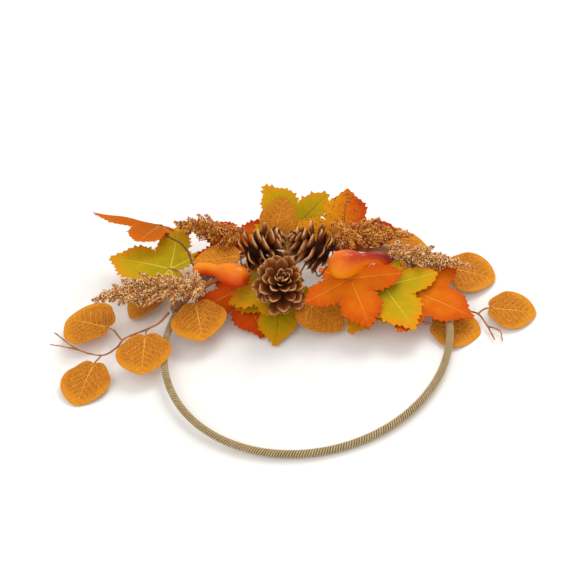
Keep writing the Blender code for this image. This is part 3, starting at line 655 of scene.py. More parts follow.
def vein_lines(tree, x, y, kind, width):
    """How strongly a vein is printed at a place on the leaf, and how far out on the leaf the place is."""
    off = math_node(tree, "ABSOLUTE", y)
    if kind == "maple":
        angle = math_node(tree, "ARCTAN2", off, x)
        (first, _), (second, middle) = LOBES[:2]
        last = LOBES[2][1]
        past = math_node(tree, "GREATER_THAN", angle, math.radians(first))
        beyond = math_node(tree, "GREATER_THAN", angle, math.radians(second))
        ray = math_node(tree, "ADD", math_node(tree, "MULTIPLY", past, math.radians(middle)),
                        math_node(tree, "MULTIPLY", beyond, math.radians(last - middle)))
        c, s = math_node(tree, "COSINE", ray), math_node(tree, "SINE", ray)
        along = math_node(tree, "ADD", math_node(tree, "MULTIPLY", x, c),
                          math_node(tree, "MULTIPLY", off, s))
        beside = math_node(tree, "ABSOLUTE", math_node(tree, "SUBTRACT", math_node(tree, "MULTIPLY", off, c),
                                                       math_node(tree, "MULTIPLY", x, s)))
        pitch, lean = 0.2, 0.8
    else:
        along, beside, pitch, lean = x, off, 0.135, 0.75
    thin = math_node(tree, "MULTIPLY", math_node(tree, "SUBTRACT", 1.15, along), width)
    main = add(tree, "ShaderNodeMapRange", math_node(tree, "DIVIDE", beside, thin), 0.5, 1.3, 1.0, 0.0)
    row = math_node(tree, "DIVIDE", math_node(tree, "SUBTRACT", along, math_node(tree, "MULTIPLY", beside,
                                                                                 lean)), pitch)
    gap = math_node(tree, "PINGPONG", row, 0.5)
    fade = math_node(tree, "MULTIPLY", math_node(tree, "SUBTRACT", 1.2, math_node(
        tree, "MULTIPLY", beside, 2.2)), 0.5 * width / pitch)
    side = add(tree, "ShaderNodeMapRange", math_node(tree, "DIVIDE", gap, fade), 0.5, 1.4,
               0.3 if kind == "maple" else 0.85, 0.0)
    return math_node(tree, "MAXIMUM", main, side)


def leaf_finish(name, kind, heart, middle, rim, vein, net, width=0.009, specks=None, across=None, pale=0.0):
    """Printed cloth: three dyes from the heart to the rim, the vein's dye and how much of it is in the fine
    net between the veins. specks is a dye for scattered dots, across a dye that takes over on one half, and
    pale how much white the back of the cloth shows."""
    finish, tree, shader = new_finish(name, 0.7, Specular_IOR_Level=0.06)
    spot = add(tree, "ShaderNodeAttribute", out=1, attribute_name="place")
    x, y, margin = (add(tree, "ShaderNodeSeparateXYZ", spot, out=k) for k in range(3))
    flat = add(tree, "ShaderNodeCombineXYZ", x, y)
    cloud = add(tree, "ShaderNodeTexNoise", flat, None, 3.5, 3.0)
    far = math_node(tree, "SQRT", math_node(tree, "ADD", math_node(tree, "MULTIPLY", x, x),
                                            math_node(tree, "MULTIPLY", y, y)))
    edge = add(tree, "ShaderNodeMapRange", margin, 0.0, 9.0, 0.35, 0.0)
    out = math_node(tree, "ADD", math_node(tree, "ADD", math_node(tree, "MULTIPLY", far, 0.75), edge),
                    math_node(tree, "MULTIPLY", math_node(tree, "SUBTRACT", cloud, 0.5), 0.7))
    colour = add(tree, "ShaderNodeValToRGB", out, stops=((0.12, heart), (0.5, middle), (0.92, rim)))
    if across:
        half = add(tree, "ShaderNodeMapRange", math_node(tree, "ADD", y, math_node(
            tree, "MULTIPLY", cloud, 0.3)), 0.0, 0.34, 0.0, 1.0)
        colour = add(tree, "ShaderNodeMixRGB", half, colour, dye(across))
    wander = add(tree, "ShaderNodeVectorMath", flat, add(tree, "ShaderNodeVectorMath", add(
        tree, "ShaderNodeTexNoise", flat, None, 14.0, 2.0, out=1), None, None, 0.05, operation="SCALE"))
    coarse = add(tree, "ShaderNodeTexVoronoi", wander, None, 21.0, feature="DISTANCE_TO_EDGE")
    fine = add(tree, "ShaderNodeTexVoronoi", wander, None, 50.0, feature="DISTANCE_TO_EDGE")
    lace = math_node(tree, "MAXIMUM", add(tree, "ShaderNodeMapRange", coarse, 0.03, 0.12, net, 0.0),
                     add(tree, "ShaderNodeMapRange", fine, 0.04, 0.2, 0.7 * net, 0.0))
    lines = math_node(tree, "MAXIMUM", vein_lines(tree, x, y, kind, width), lace)
    colour = add(tree, "ShaderNodeMixRGB", lines, colour, dye(vein))
    if specks:
        dots = add(tree, "ShaderNodeTexVoronoi", flat, None, 26.0)
        keep = add(tree, "ShaderNodeTexNoise", flat, None, 6.0, 1.0)
        dot = add(tree, "ShaderNodeMapRange", math_node(tree, "ADD", dots, math_node(
            tree, "MULTIPLY", keep, 0.5)), 0.46, 0.56, 0.9, 0.0)
        colour = add(tree, "ShaderNodeMixRGB", dot, colour, dye(specks))
    if pale:
        colour = add(tree, "ShaderNodeMixRGB", pale, colour, dye("F0C890"))
    place = add(tree, "ShaderNodeTexCoord", out=3)
    weave = add(tree, "ShaderNodeTexVoronoi", place, None, 2200.0)
    feed(tree, shader, colour, math_node(tree, "SUBTRACT", weave, math_node(tree, "MULTIPLY", lines, 1.0)),
         0.00012)
    return finish


def both_sides(name, kind, **print_of):
    """The front and the back of one printed cloth, and the taped wire of its stalk."""
    return (leaf_finish(name, kind, **print_of), leaf_finish(name + ", back", kind, pale=0.22, **print_of),
            tape)


# %% The cloths
OLIVE = both_sides("polyester leaf cloth, olive to gold print", "maple", heart="A8920A", middle="C29A06",
                   rim="D88A04", vein="DCC84C", net=0.08)
OLIVE_DARK = both_sides("polyester leaf cloth, olive print with dark veins", "maple", heart="A08C08",
                        middle="B89206", rim="CC8C06", vein="6E5A20", net=0.08, width=0.008)
GREEN = both_sides("polyester leaf cloth, green-gold print", "maple", heart="AC8C0A", middle="C48E06",
                   rim="D48608", vein="D4BC4C", net=0.06)
ORANGE = both_sides("polyester leaf cloth, orange print", "maple", heart="DC7606", middle="D25E03",
                    rim="C64C02", vein="EE9C3C", net=0.07)
DEEP_ORANGE = both_sides("polyester leaf cloth, deep orange print", "maple", heart="D25204",
                         middle="CC4803", rim="BC3A02", vein="E88838", net=0.06)
RED = both_sides("polyester leaf cloth, red print with dark veins", "maple", heart="D0660E",
                 middle="C44A0A", rim="B43606", vein="6E2418", net=0.14, width=0.008)
SPOTTED = both_sides("polyester leaf cloth, two-tone print with specks", "maple", heart="DC7008",
                     middle="D05806", rim="C04004", vein="6A3030", net=0.12, width=0.008,
                     specks="4A2A3C", across="E0900A")
FLAG = both_sides("polyester leaf cloth, faded orange print", "maple", heart="B05A12", middle="C05C0C",
                  rim="CC640E", vein="D08A3C", net=0.05)
PENNY = both_sides("satin leaf cloth, rust print with gold veins", "penny", heart="8C3402",
                   middle="A04402", rim="CC7A08", vein="E8A238", net=0.72, width=0.017)
ROSE = both_sides("satin leaf cloth, brown print with gold net", "rose", heart="A04404",
                  middle="AC4E04", rim="B45C06", vein="EAA034", net=0.85, width=0.014)
print("cloths:", len(bpy.data.materials))

# %% [markdown]
# ## Laying the leaves
# Twelve maple leaves make the bulk of the swag. Each row below is one leaf: how long it is as a share of a
# middle-sized one, where its blade starts, which way it points, how it tips and rolls, and where on the
# stem its stalk is bound. Then come the round leaves on the stem, and the rose leaves among the cones.


# %% Where a stalk is bound
def bound_at(phi, side):
    """A place on the stem's tape at phi, on its outer side (0), its front (90) or its inner side (180), and
    the way out from there."""
    a, s = math.radians(phi), math.radians(side)
    out = math.cos(s) * Vector((math.sin(a), math.cos(a), 0)) + math.sin(s) * Vector((0, 0, 1))
    return stem_point(phi) + 4.1 * out, out


# %% The maple leaves on the stem
MAPLE = 66  # millimetres, a middle-sized leaf from stalk to tip
for name, finishes, slot, share, base, heading, pitch, roll, bound, shape in (
    ("maple_orange_centre", ORANGE, "orange_leaf_fabric", 0.94, (58, -79, "front", 19.5), -82, -10, 0,
     (14, 180), {"lower": 0.56}),
    ("maple_olive_right", OLIVE, "olive_leaf_fabric", 1.00, (91, -87, "front", 7), -74, -1.5, 0, (21, 180),
     {"lower": 0.56}),
    ("maple_orange_right", ORANGE, "orange_leaf_fabric", 1.02, (121, -97, "mid", 10.5), -42, -3, 0,
     (30, 180), {"lower": 0.5}),
    ("maple_olive_low", GREEN, "olive_leaf_fabric", 0.66, (77, -94, "mid", 6), -137, -12, 0, (17, 180), {}),
    ("maple_olive_bottom", OLIVE_DARK, "olive_leaf_fabric", 0.96, (-16, -54, "mid", 3.5), -105.5, -10, 0,
     (-4, 180), {"lower": 0.45}),
    ("maple_olive_centre", GREEN, "olive_leaf_fabric", 0.70, (-27, -52, "front", 1.4), -174, -3, 0, (2, 180),
     {"lower": 0.35}),
    ("maple_orange_left", DEEP_ORANGE, "orange_leaf_fabric", 1.06, (-56, -30, "mid", 1.5), -80, -8, 0,
     (-18, 180), {"lower": 0.52}),
    ("maple_olive_left", OLIVE, "olive_leaf_fabric", 1.14, (-133, 15, "mid", 7), 153, 6, 0, (-34, 60),
     {"lower": 0.5}),
    ("maple_red", RED, "red_leaf_fabric", 0.86, (-57, 26, "mid", 8), 115, 4, -3, (-17, 90), {"pull": 0.4}),
    ("maple_olive_top", OLIVE_DARK, "olive_leaf_fabric", 0.95, (16, 39, "mid", 12), 118, 25, 0, (4, 90),
     {"pull": 0.4}),
    ("maple_spotted", SPOTTED, "red_leaf_fabric", 0.90, (61, -7, "front", 8), 70, 33, 0, (13, 90),
     {"pull": 0.3, "lower": 0.28, "tooth": 1.8, "narrow": 1.2}),
):
    leaf(name, "maple", share * MAPLE, at(*base), heading, pitch, roll, bound_at(*bound), finishes, "wreath",
         slot, **shape)

# %% The penny and rose leaves on the stem
LENGTHS = {"penny": 53, "rose": 56}
for name, kind, share, base, heading, pitch, bound, shape in (
    ("penny_left_back", "penny", 1.06, (-140, -12, "back", 2), 155, -18.7, (-38, 0), {"narrow": 1.2}),
    ("penny_left_inner", "penny", 0.92, (-108, -52, "front", 1.6), -87, -7, (-29, 180), {"narrow": 1.1}),
    ("penny_right_top", "penny", 1.06, (103, -6, "back", -3.2), -12, -11.2, (26, -90), {}),
    ("penny_right_upper", "penny", 0.98, (165, -59, "back", 1), -25, -8, (39.5, 0), {}),
    ("penny_right_under", "penny", 0.92, (132, -132, "back", -2.3), -25, -3, (32, 200), {}),
    ("rose_left", "rose", 0.94, (-53, 4, "front", 5), 174, 2, (-12, 90), {"pull": 0.6}),
    ("rose_top", "rose", 0.90, (-12, 20, "front", 4), 59, 44, (-5, 90), {"pull": 0.6}),
    ("rose_bottom", "rose", 1.04, (3, -73, "front", -0.4), -48, -14, (6, 180), {}),
):
    leaf(name, kind, share * LENGTHS[kind], at(*base), heading, pitch, 0, bound_at(*bound),
         PENNY if kind == "penny" else ROSE, "wreath", "printed_leaf_fabric", **shape)

# %% [markdown]
# ## The two side branches and the flag
# At each end of the stem a thin taped wire wanders off and forks, with penny leaves beside it. Such a wire
# never runs true, so its path is shaken a little, and its tape leaves small steps. The flag is a leaf folded
# along its midrib, which sits on a dark, knotted paper twist over the left of the swag.

# %% Finish: dark twisted paper
twist, tree, shader = new_finish("dark brown twisted paper", 0.75)
place = add(tree, "ShaderNodeTexCoord", out=3)
knot = add(tree, "ShaderNodeTexNoise", place, None, 600.0, 4.0, 0.7)
feed(tree, shader, add(tree, "ShaderNodeValToRGB", knot,
                       stops=((0.3, "3E1C0C"), (0.55, "7A3E1A"), (0.75, "9A5A2A"))), knot, 0.0004)


# %% Stems of the branches
def beside_stem(path, share, side):
    """Where a leaf's stalk leaves a branch's stem, and the way it leaves."""
    k = round(share * (len(path) - 1))
    along = (path[min(k + 1, len(path) - 1)] - path[k - 1]).normalized()
    return path[k], Vector((-along.y, along.x, 0)).normalized() * side


def tapering(first, last, count):
    return [first + (last - first) * k / (count - 1) for k in range(count)]


def knobs(way, turn):
    return 0.10 * math.sin(way * 1.9) + 0.06 * math.sin(way * 4.3 + 6.3 * turn)


def branch(body, node, main, twigs):
    """A forked stem on its own body. Its leaves are bound to the path that comes back."""
    path = smooth_path(main, 4)
    shape = start_shape()
    fine = crinkle(smooth_path(main, 10), 0.16, node)
    add_round(shape, fine, tapering(1.3, 0.75, len(fine)), sides=10, relief=knobs)
    for points in twigs:
        fine = crinkle(smooth_path(points, 8), 0.14, node + "twig")
        add_round(shape, fine, tapering(0.9, 0.55, len(fine)), sides=8, relief=knobs)
    hang(node + "_taped", as_mesh(node, shape, [tape]), body, [node])
    return path


left = branch("left_branch", "left_branch_stem", [stem_point(-42.5)] + [at(*p) for p in (
    (-149, -66, "front", -2.5), (-164, -71, "front", -4), (-188, -72, "mid", 1), (-199, -81, "mid", -2),
    (-216, -86, "mid", -3), (-242, -69, "mid", -4), (-268, -36, "mid", -6))],
    [[at(-240, -71, "mid", -4), at(-258, -60, "mid", -5), at(-273, -52, "mid", -6)]])
right = branch("right_branch", "right_branch_stem", [stem_point(42.5)] + [at(*p) for p in (
    (152, -78, "mid", 0), (159, -100, "mid", -4), (165, -121, "mid", -5), (179, -131, "mid", -6),
    (184, -150, "mid", -7), (186, -168, "mid", -7))],
    [[at(184, -149, "mid", -7), at(194, -158, "mid", -7), at(193, -172, "mid", -7)]])

# %% Leaves of the branches
for name, path, share, base, heading, pitch, place_on, side, narrow in (
    ("penny_left_far", left, 1.10, (-208, -47, "mid", -3), 145, -4, 0.46, -1, 1.0),
    ("penny_left_lower", left, 0.92, (-165, -82, "front", -1.2), -98, -3, 0.29, 1, 1.1),
    ("penny_left_low", left, 0.98, (-224, -94, "mid", -5), -115, -4, 0.71, 1, 0.96),
    ("penny_right_far", right, 0.88, (193, -127, "mid", -5), -18, -4, 0.66, 1, 1.0),
):
    leaf(name, "penny", share * LENGTHS["penny"], at(*base), heading, pitch, 0,
         beside_stem(path, place_on, side), PENNY, "left_branch" if path is left else "right_branch",
         "printed_leaf_fabric", narrow=narrow)

# %% The flag
start, _ = bound_at(-27, 60)
path = smooth_path([start] + [at(*p) for p in ((-105, 0, "front", 8), (-109, 19, "front", 11),
                                               (-117, 37, "front", 12), (-131, 53, "front", 11))], 12)
shape = start_shape()
fine = crinkle(path, 0.3, "flag")
add_round(shape, fine, tapering(1.3, 0.85, len(fine)), sides=10,
          relief=lambda way, turn: 3 * knobs(way, turn))
hang("flag_twist", as_mesh("flag_twig", shape, [twist]), "flag", ["flag_twig"])
leaf("maple_flag", "maple", 1.22 * MAPLE, at(-136, 64.5, "front", 20.5), 156, 12, 33,
     (path[-1], (path[-1] - path[-2]).normalized()), (*FLAG[:2], twist), "flag", "orange_leaf_fabric",
     pull=0.5, lower=0.3, narrow=0.32, fold=0.3)

# %% [markdown]
# ## Pine cones
# A cone is a short axis with woody scales around it. Each scale is turned from the last one by the golden
# angle, 137.5 degrees, which makes the two sets of spirals that one sees. The scales at the foot stand out
# flat, and those at the tip close up. Only one scale is modelled: a broad spoon with a pale lip. The tree
# puts it on the axis, and two curves give its lean and its size from foot to tip.

# %% Finish: open pine cone scales
cone_wood, tree, shader = new_finish("dry pine cone scale, waxed lip", 0.72, Specular_IOR_Level=0.15)
lip = add(tree, "ShaderNodeAttribute", out=2, attribute_name="lip")
tone = add(tree, "ShaderNodeAttribute", out=2, attribute_name="tone")
place = add(tree, "ShaderNodeTexCoord", out=3)
grain = add(tree, "ShaderNodeTexNoise", place, None, 420.0, 4.0, 0.65)
weather = add(tree, "ShaderNodeTexNoise", place, None, 60.0, 2.0)
out = math_node(tree, "ADD", lip, math_node(tree, "MULTIPLY", math_node(tree, "SUBTRACT", grain, 0.5), 0.35))
wood = add(tree, "ShaderNodeValToRGB", out, stops=((0.10, "32170A"), (0.44, "552409"), (0.70, "824218"),
                                                   (0.83, "AE6C36"), (0.94, "E0B47C")))
dull = add(tree, "ShaderNodeMapRange", math_node(tree, "ADD", tone, weather), 0.6, 1.5, 0.0, 0.35)
feed(tree, shader, add(tree, "ShaderNodeMixRGB", dull, wood, dye("783E1C")), grain, 0.0004)


# %% One scale of a cone
def one_scale():
    """A woody spoon one unit long, from its root on the axis to its lip, curling towards the cone's tip."""
    sections = ((0.0, 0.12, 0.035, 0.0), (0.30, 0.23, 0.035, 0.02), (0.55, 0.36, 0.035, 0.015),
                (0.76, 0.43, 0.045, -0.02), (0.90, 0.35, 0.06, -0.06), (1.0, 0.12, 0.045, -0.10))
    shape = start_shape()
    for reach, wide, thick, lift in sections:
        for k in range(8):
            a = 2 * math.pi * k / 8
            bow = 0.35 * wide * math.sin(a) ** 2
            shape["points"].append(Vector((lift + thick * math.cos(a) - bow, wide * math.sin(a), reach)))
            shape["place"].append((reach * (0.80 + 0.20 * abs(math.sin(a))), 0, 0))
    rows = [tuple(range(8 * i, 8 * i + 8)) for i in range(len(sections))]
    faces = [rows[0], rows[-1][::-1]]
    for a, b in zip(rows, rows[1:]):
        faces += [(a[k], a[(k + 1) % 8], b[(k + 1) % 8], b[k]) for k in range(8)]
    add_faces(shape, faces, 0)
    mesh = as_mesh("cone scale", shape, [cone_wood])
    lip_of = mesh.attributes.new("lip", "FLOAT", "POINT")
    lip_of.data.foreach_set("value", [p[0] for p in shape["place"]])
    return bpy.data.objects.new("cone scale", mesh)


# %% Scales set round an axis by the golden angle
def shape_curve(tree, factor, points):
    """A drawn curve: what it gives for a factor from 0 to 1."""
    value = add(tree, "ShaderNodeFloatCurve", 1.0, factor)
    curve = value.node.mapping.curves[0]
    curve.points[0].location, curve.points[-1].location = points[0], points[-1]
    for place in points[1:-1]:
        curve.points.new(*place)
    value.node.mapping.update()
    return value


cone_tree, given, end = start_tree("cone scales", (
    ("Scales", "Int"), ("Radius", "Float"), ("Scale width", "Float"), ("Height", "Float"),
    ("Axis radius", "Float"), ("Seed", "Int"),
    ("One scale", "Object"), ("Finish", "Material")))
tree = cone_tree
line = add(tree, "GeometryNodeMeshToPoints", add(tree, "GeometryNodeMeshLine", given["Scales"]))
number = add(tree, "GeometryNodeInputIndex")
rise = math_node(tree, "DIVIDE", number, given["Scales"])
lean = math_node(tree, "MULTIPLY", shape_curve(tree, rise, (
    (0, 0.98), (0.25, 0.80), (0.6, 0.52), (0.85, 0.30), (1, 0.10))), math.pi * 0.62)
size_of = math_node(tree, "MULTIPLY", shape_curve(tree, rise, (
    (0, 0.66), (0.2, 0.92), (0.45, 1.0), (0.75, 0.72), (1, 0.36))), given["Radius"])


def shaken(low, high, salt):
    """A different number for each scale, the same every time."""
    return add(tree, "FunctionNodeRandomValue", None, None, low, high, None, None, None, None,
               math_node(tree, "ADD", given["Seed"], salt), out=1)


round_it = math_node(tree, "ADD", math_node(tree, "MULTIPLY", number, math.radians(137.508)),
                     shaken(-0.09, 0.09, 1))
axis = math_node(tree, "MULTIPLY", given["Axis radius"], math_node(tree, "SUBTRACT", 1.05, rise))
spot = add(tree, "ShaderNodeCombineXYZ",
           math_node(tree, "MULTIPLY", axis, math_node(tree, "COSINE", round_it)),
           math_node(tree, "MULTIPLY", axis, math_node(tree, "SINE", round_it)),
           math_node(tree, "MULTIPLY", math_node(tree, "SUBTRACT", math_node(
               tree, "MULTIPLY", rise, 0.80), 0.40), given["Height"]))
turned = add(tree, "ShaderNodeCombineXYZ", shaken(-0.22, 0.22, 2),
             math_node(tree, "ADD", lean, shaken(-0.16, 0.16, 3)), round_it)
points = add(tree, "GeometryNodeSetPosition", line, None, spot)
grown = math_node(tree, "MULTIPLY", size_of, shaken(0.72, 1.08, 4))
scales = add(tree, "GeometryNodeInstanceOnPoints", points, None,
             add(tree, "GeometryNodeObjectInfo", given["One scale"], out=4), None, None,
             add(tree, "FunctionNodeEulerToRotation", turned),
             add(tree, "ShaderNodeCombineXYZ", grown,
                 math_node(tree, "MULTIPLY", grown, given["Scale width"]), grown))
scales = add(tree, "GeometryNodeStoreNamedAttribute", scales, None, "tone", shaken(0.0, 1.0, 5),
             domain="INSTANCE")
cone = tree.nodes.new("GeometryNodeJoinGeometry")
tree.links.new(add(tree, "GeometryNodeRealizeInstances", scales), cone.inputs[0])
tree.links.new(given["Geometry"], cone.inputs[0])
end(add(tree, "GeometryNodeSetMaterial", cone.outputs[0], None, given["Finish"]))

# %% The three cones
one = one_scale()
scene.collection.objects.link(one)
for seed, (name, across, squat, centre, axis, count, open_to, wide) in enumerate((
    ("pinecone_left", 48, 0.98, (-25, -12, "front", 24.5), (0.96, 0.10, 0.25), 44, 0.54, 1.0),
    ("pinecone_right", 48, 0.98, (25, -25, "front", 24.0), (-0.75, 0.35, 0.55), 44, 0.54, 1.0),
    ("pinecone_front", 58, 0.56, (-14, -74, "front", 23), (0.10, -0.34, 0.93), 50, 0.50, 0.62),
)):
    tall = across * squat
    core = start_shape()
    spine = [Vector((0, 0, tall * (s - 0.5))) for s in (0.06, 0.12, 0.35, 0.6, 0.8, 0.92)]
    add_round(core, spine, [0.12 * across, 0.18 * across, 0.18 * across, 0.14 * across, 0.08 * across, 1.0],
              sides=12)
    mesh = grow(as_mesh(name, core, [cone_wood]), cone_tree, {
        "Scales": count, "Radius": across * open_to, "Scale width": wide, "Height": tall,
        "Axis radius": 0.07 * across, "Seed": 10 * seed, "One scale": one, "Finish": cone_wood})
    turn = Vector((0, 0, 1)).rotation_difference(Vector(axis).normalized()).to_matrix().to_4x4()
    hang(name + "_scales", mesh, "wreath", [name],
         SWAG @ Matrix.Translation(at(*centre)) @ turn, crease=42)
bpy.data.objects.remove(one)

# %% [markdown]
# ## Gourds
# The gourds are lacquered foam: a full bulb that runs into a bent neck. One smooth path and a list of radii
# give the whole form. The blush is sprayed on from one side, so it depends on how far along the gourd a
# point is and on how much it faces up. The gloss is a thin clear coat over a softer paint.

# %% Finish: sprayed and lacquered foam
def gourd_finish(name, way_weight, up_weight, shift, stops):
    finish, tree, shader = new_finish(name, 0.5, Coat_Weight=0.3, Coat_Roughness=0.12,
                                      Specular_IOR_Level=0.1)
    spot = add(tree, "ShaderNodeAttribute", out=1, attribute_name="place")
    way, up = add(tree, "ShaderNodeSeparateXYZ", spot), add(tree, "ShaderNodeSeparateXYZ", spot, out=2)
    place = add(tree, "ShaderNodeTexCoord", out=3)
    mist = add(tree, "ShaderNodeTexNoise", place, None, 70.0, 3.0)
    blush = math_node(tree, "ADD", math_node(tree, "MULTIPLY", way, way_weight / 70),
                      math_node(tree, "MULTIPLY", up, up_weight))
    blush = math_node(tree, "ADD", blush, math_node(tree, "MULTIPLY", math_node(tree, "SUBTRACT", mist, 0.5),
                                                    0.35))
    blush = math_node(tree, "ADD", blush, shift)
    dimple = add(tree, "ShaderNodeTexNoise", place, None, 500.0, 2.0)
    feed(tree, shader, add(tree, "ShaderNodeValToRGB", blush, stops=stops), dimple, 0.00012)
    return finish


# %% The two gourds
BULB = ((0.0, 0.10), (0.025, 0.42), (0.07, 0.68), (0.14, 0.88), (0.22, 0.98), (0.30, 1.0), (0.38, 0.96),
        (0.46, 0.84), (0.53, 0.64), (0.62, 0.30), (0.70, 0.0), (1.0, 0.0))
NECK = ((0.0, 0.0), (0.30, 0.8), (0.45, 0.92), (0.60, 0.96), (0.70, 0.98), (0.80, 1.0), (0.90, 1.0),
        (0.95, 0.84), (0.985, 0.55), (1.0, 0.2))
for name, bulb, neck, finish, points in (
    ("gourd_left", 12.9, 7.2, gourd_finish("lacquered gourd, gold over orange-red", 0.12, 0.42, 0.35, (
        (0.0, "B82603"), (0.40, "D44003"), (0.66, "E46803"), (0.98, "EE9208"))),
     ((-45, -47, 21), (-59, -44, 21.5), (-74, -34, 22), (-90, -23, 20.5), (-105, -19, 18.5))),
    ("gourd_right", 15.0, 6.5, gourd_finish("lacquered gourd, dark red over orange", 0.75, 0.34, -0.02, (
        (0.0, "F09406"), (0.36, "EA7604"), (0.60, "BE3A03"), (0.88, "781403"))),
     ((37, -75, 38), (51, -76, 38), (68, -75, 38), (88, -75, 38), (103, -80, 32))),
):
    path = smooth_path([at(x, y, "front", z) for x, y, z in points], 16)
    spread = np.linspace(0, 1, len(path))
    radii = np.maximum(np.interp(spread, *zip(*BULB)) * bulb, np.interp(spread, *zip(*NECK)) * neck)
    for _ in range(3):
        radii[1:-1] = (radii[:-2] + 2 * radii[1:-1] + radii[2:]) / 4
    radii = [float(r) for r in radii]
    shape = start_shape()
    add_round(shape, path, radii, sides=32)
    tip = path[0] - path[1]
    nub = [path[0] + tip.normalized() * k for k in (-1.5, 0.2, 0.9)]
    add_round(shape, nub, [1.5, 1.3, 0.8], sides=8, finish=1)
    hang(name + "_lacquered", as_mesh(name, shape, [finish, twist]), "wreath", [name],
         crease=80)

# %% [markdown]
# ## Sprays of seeds
# A spray is a stalk with many short branchlets that lie forward along it, each one crusted with small
# seeds. A random crust over one smooth body would look like a sausage. So the branchlets are drawn first,
# as curves; the tree wraps each one in an unseen skin, scatters points on it that keep their distance, and
# sets a seed on every point. Each seed remembers a number of its own, from which the finish picks its
# colour: most are cream, some gold, a few rust or brown.


# %% Finish: dyed seeds
def seed_finish(name, stops, gloss):
    finish, tree, shader = new_finish(name, gloss, Specular_IOR_Level=0.5)
    tone = add(tree, "ShaderNodeAttribute", out=2, attribute_name="tone")
    place = add(tree, "ShaderNodeTexCoord", out=3)
    fleck = add(tree, "ShaderNodeTexNoise", place, None, 900.0, 2.0)
    pick = math_node(tree, "ADD", tone, math_node(tree, "MULTIPLY", math_node(tree, "SUBTRACT", fleck, 0.5),
                                                  0.12))
    feed(tree, shader, add(tree, "ShaderNodeValToRGB", pick, stops=stops), fleck, 0.0002)
    return finish


CREAM = seed_finish("cream dyed seeds", (
    (0.0, "7A4010"), (0.10, "B06E20"), (0.24, "E6A444"), (0.45, "F0C47C"), (0.66, "F8E0B0"),
    (0.80, "D6882A"), (0.90, "D04C10"), (1.0, "F6E2B8")), 0.5)
COPPER = seed_finish("copper dyed seeds", (
    (0.0, "5A2806"), (0.2, "A8560C"), (0.45, "D88214"), (0.72, "F0A832"), (0.9, "FACC6C"), (1.0, "C0500A")),
    0.4)
GOLD = seed_finish("gold dyed seeds", (
    (0.0, "6E3206"), (0.2, "C8761A"), (0.5, "EC9C28"), (0.7, "F8BC54"), (0.88, "D8600E"), (1.0, "FAD884")),
    0.45)


# %% Seeds scattered on unseen skins round the branchlets
def one_seed():
    """A plump grain of 20 faces, one unit long."""
    grain = bmesh.new()
    bmesh.ops.create_icosphere(grain, subdivisions=1, radius=0.5)
    for vertex in grain.verts:
        vertex.co.x *= 0.78
        vertex.co.y *= 0.78
    mesh = bpy.data.meshes.new("seed")
    grain.to_mesh(mesh)
    grain.free()
    return bpy.data.objects.new("seed", mesh)


seed_tree, given, end = start_tree("seeds on branchlets", (
    ("Skin radius", "Float"), ("Spacing", "Float"), ("Seed size", "Float"), ("Seed", "Int"),
    ("One seed", "Object"), ("Seed finish", "Material"), ("Stem radius", "Float"),
    ("Stem finish", "Material")))
tree = seed_tree
skin = add(tree, "GeometryNodeCurveToMesh", given["Geometry"],
           add(tree, "GeometryNodeCurvePrimitiveCircle", 8, None, None, None, given["Skin radius"]),
           add(tree, "GeometryNodeInputRadius"), True)
scatter = add(tree, "GeometryNodeDistributePointsOnFaces", skin, None, given["Spacing"], 3.0, None, 1.0,
              given["Seed"], distribute_method="POISSON").node
push = add(tree, "ShaderNodeVectorMath", scatter.outputs["Normal"], None, None, shaken(-0.7, 0.7, 1),
           operation="SCALE")
points = add(tree, "GeometryNodeSetPosition", scatter.outputs["Points"], None, None, push)
any_way = add(tree, "FunctionNodeEulerToRotation", add(
    tree, "ShaderNodeCombineXYZ", shaken(0, 6.28, 2), shaken(0, 6.28, 3), shaken(0, 6.28, 4)))
seeds = add(tree, "GeometryNodeInstanceOnPoints", points, None,
            add(tree, "GeometryNodeObjectInfo", given["One seed"], out=4), None, None, any_way,
            math_node(tree, "MULTIPLY", given["Seed size"], shaken(0.75, 1.15, 5)))
seeds = add(tree, "GeometryNodeStoreNamedAttribute", seeds, None, "tone", shaken(0.0, 1.0, 6),
            domain="INSTANCE")
seeds = add(tree, "GeometryNodeSetMaterial", add(tree, "GeometryNodeRealizeInstances", seeds), None,
            given["Seed finish"])
wood = add(tree, "GeometryNodeCurveToMesh", given["Geometry"],
           add(tree, "GeometryNodeCurvePrimitiveCircle", 5, None, None, None, given["Stem radius"]),
           1.0, True)
wood = add(tree, "GeometryNodeSetMaterial", wood, None, given["Stem finish"])
spray = tree.nodes.new("GeometryNodeJoinGeometry")
tree.links.new(seeds, spray.inputs[0])
tree.links.new(wood, spray.inputs[0])
end(spray.outputs[0])


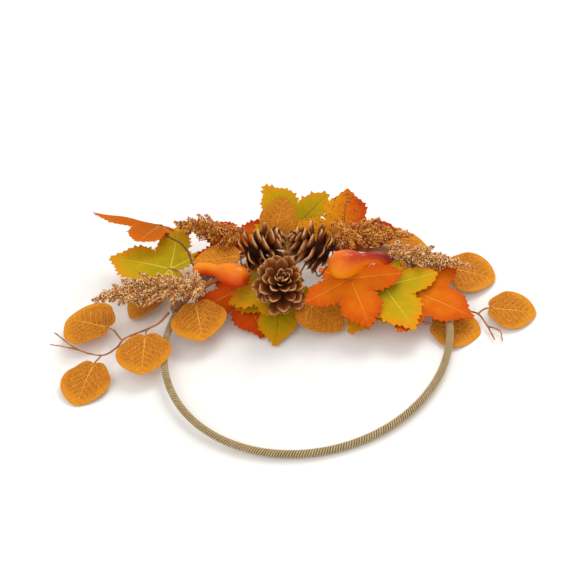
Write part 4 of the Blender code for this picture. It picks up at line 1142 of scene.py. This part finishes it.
# %% The branchlets of a spray
def branchlets(name, path, full, count, lean, flat):
    """Curves that stand out from a stalk and bend forward along it. full is the spray's widest radius, lean
    is how steeply they leave it, and flat draws them towards the spray's two sides."""
    rng = random.Random(name)
    curve = bpy.data.curves.new(name, "CURVE")
    curve.dimensions = "3D"
    for k in range(count):
        share = (k + 0.4) / count
        i = min(int(share * (len(path) - 2)), len(path) - 2)
        root = path[i]
        along = (path[i + 1] - path[i]).normalized()
        side = along.cross(Vector((0, 0, 1))).normalized()
        rise = side.cross(along)
        wide = full * (1.0 if share < 0.45 else 1 - 0.80 * (share - 0.45) / 0.55)
        steep = math.radians(min(84.0, lean + 70 * max(0.0, 1 - share / 0.35)))
        a = k * 2.39996 + rng.uniform(-0.3, 0.3)
        out = math.cos(a) * side + (1 - flat) * math.sin(a) * rise
        out = out.normalized() if out.length > 0.15 else side
        wide = max(2.0, wide - 2.2) * rng.uniform(0.5, 1.12)
        reach = wide / math.tan(steep) * rng.uniform(0.8, 1.1)
        bend = root + along * reach * 0.45 + out * wide * 0.75
        tip = root + along * reach + out * wide
        spline = curve.splines.new("POLY")
        twig = arc_path(root, root + (bend - root) * 0.6, bend, tip, 4)
        spline.points.add(len(twig) - 1)
        for point, place, thick in zip(spline.points, twig, (0.6, 1.0, 1.1, 1.0, 0.6)):
            point.co, point.radius = (*place, 1.0), thick
    spline = curve.splines.new("POLY")
    spline.points.add(len(path) - 1)
    for i, (point, place) in enumerate(zip(spline.points, path)):
        point.co, point.radius = (*place, 1.0), 1.25 - 0.7 * i / (len(path) - 1)
    return curve


# %% The four sprays
WIDEST = 21.5  # millimetres, the radius of a full spray where it is thickest
SKIN = 2.5  # the radius of a branchlet's unseen skin
SEED_SIZE = 2.3
grain = one_seed()
scene.collection.objects.link(grain)
for seed, (name, finish, slot, body, share, rows, count, lean, flat, spacing) in enumerate((
    ("spray_cream_left", CREAM, "cream_seeds", "left_spray", 1.0, (
        (-98, -50, 19), (-132, -39, 19), (-160, -31, 16.5), (-190, -24, 11), (-221, -18, 4)),
     96, 44, 0.25, 1.75),
    ("spray_copper", COPPER, "copper_seeds", "wreath", 0.92, (
        (-52, 24, 13), (-68, 37, 14), (-86, 50, 14), (-104, 62, 12), (-122, 78, 9)), 66, 46, 0.1, 1.7),
    ("spray_gold", GOLD, "gold_seeds", "wreath", 1.0, (
        (52, -18, 24), (72, -19, 24), (90, -19, 23), (112, -24, 20), (136, -31, 16)), 60, 52, 0.6, 1.65),
    ("spray_cream_right", CREAM, "cream_seeds", "wreath", 0.72, (
        (106, -48, 14), (122, -55, 13), (142, -65, 12), (164, -75, 9), (187, -84, 4)), 60, 44, 0.1, 1.65),
)):
    path = smooth_path([at(x, y, "front", z) for x, y, z in rows], 8)
    curve = branchlets(name, path, share * WIDEST, count, lean, flat)
    mesh = grow(curve, seed_tree, {
        "Skin radius": SKIN, "Spacing": spacing, "Seed size": SEED_SIZE, "Seed": 100 * seed,
        "One seed": grain, "Seed finish": finish, "Stem radius": 0.45, "Stem finish": twist})
    hang(name + "_seeds", mesh, body, [name], crease=180)
bpy.data.objects.remove(grain)
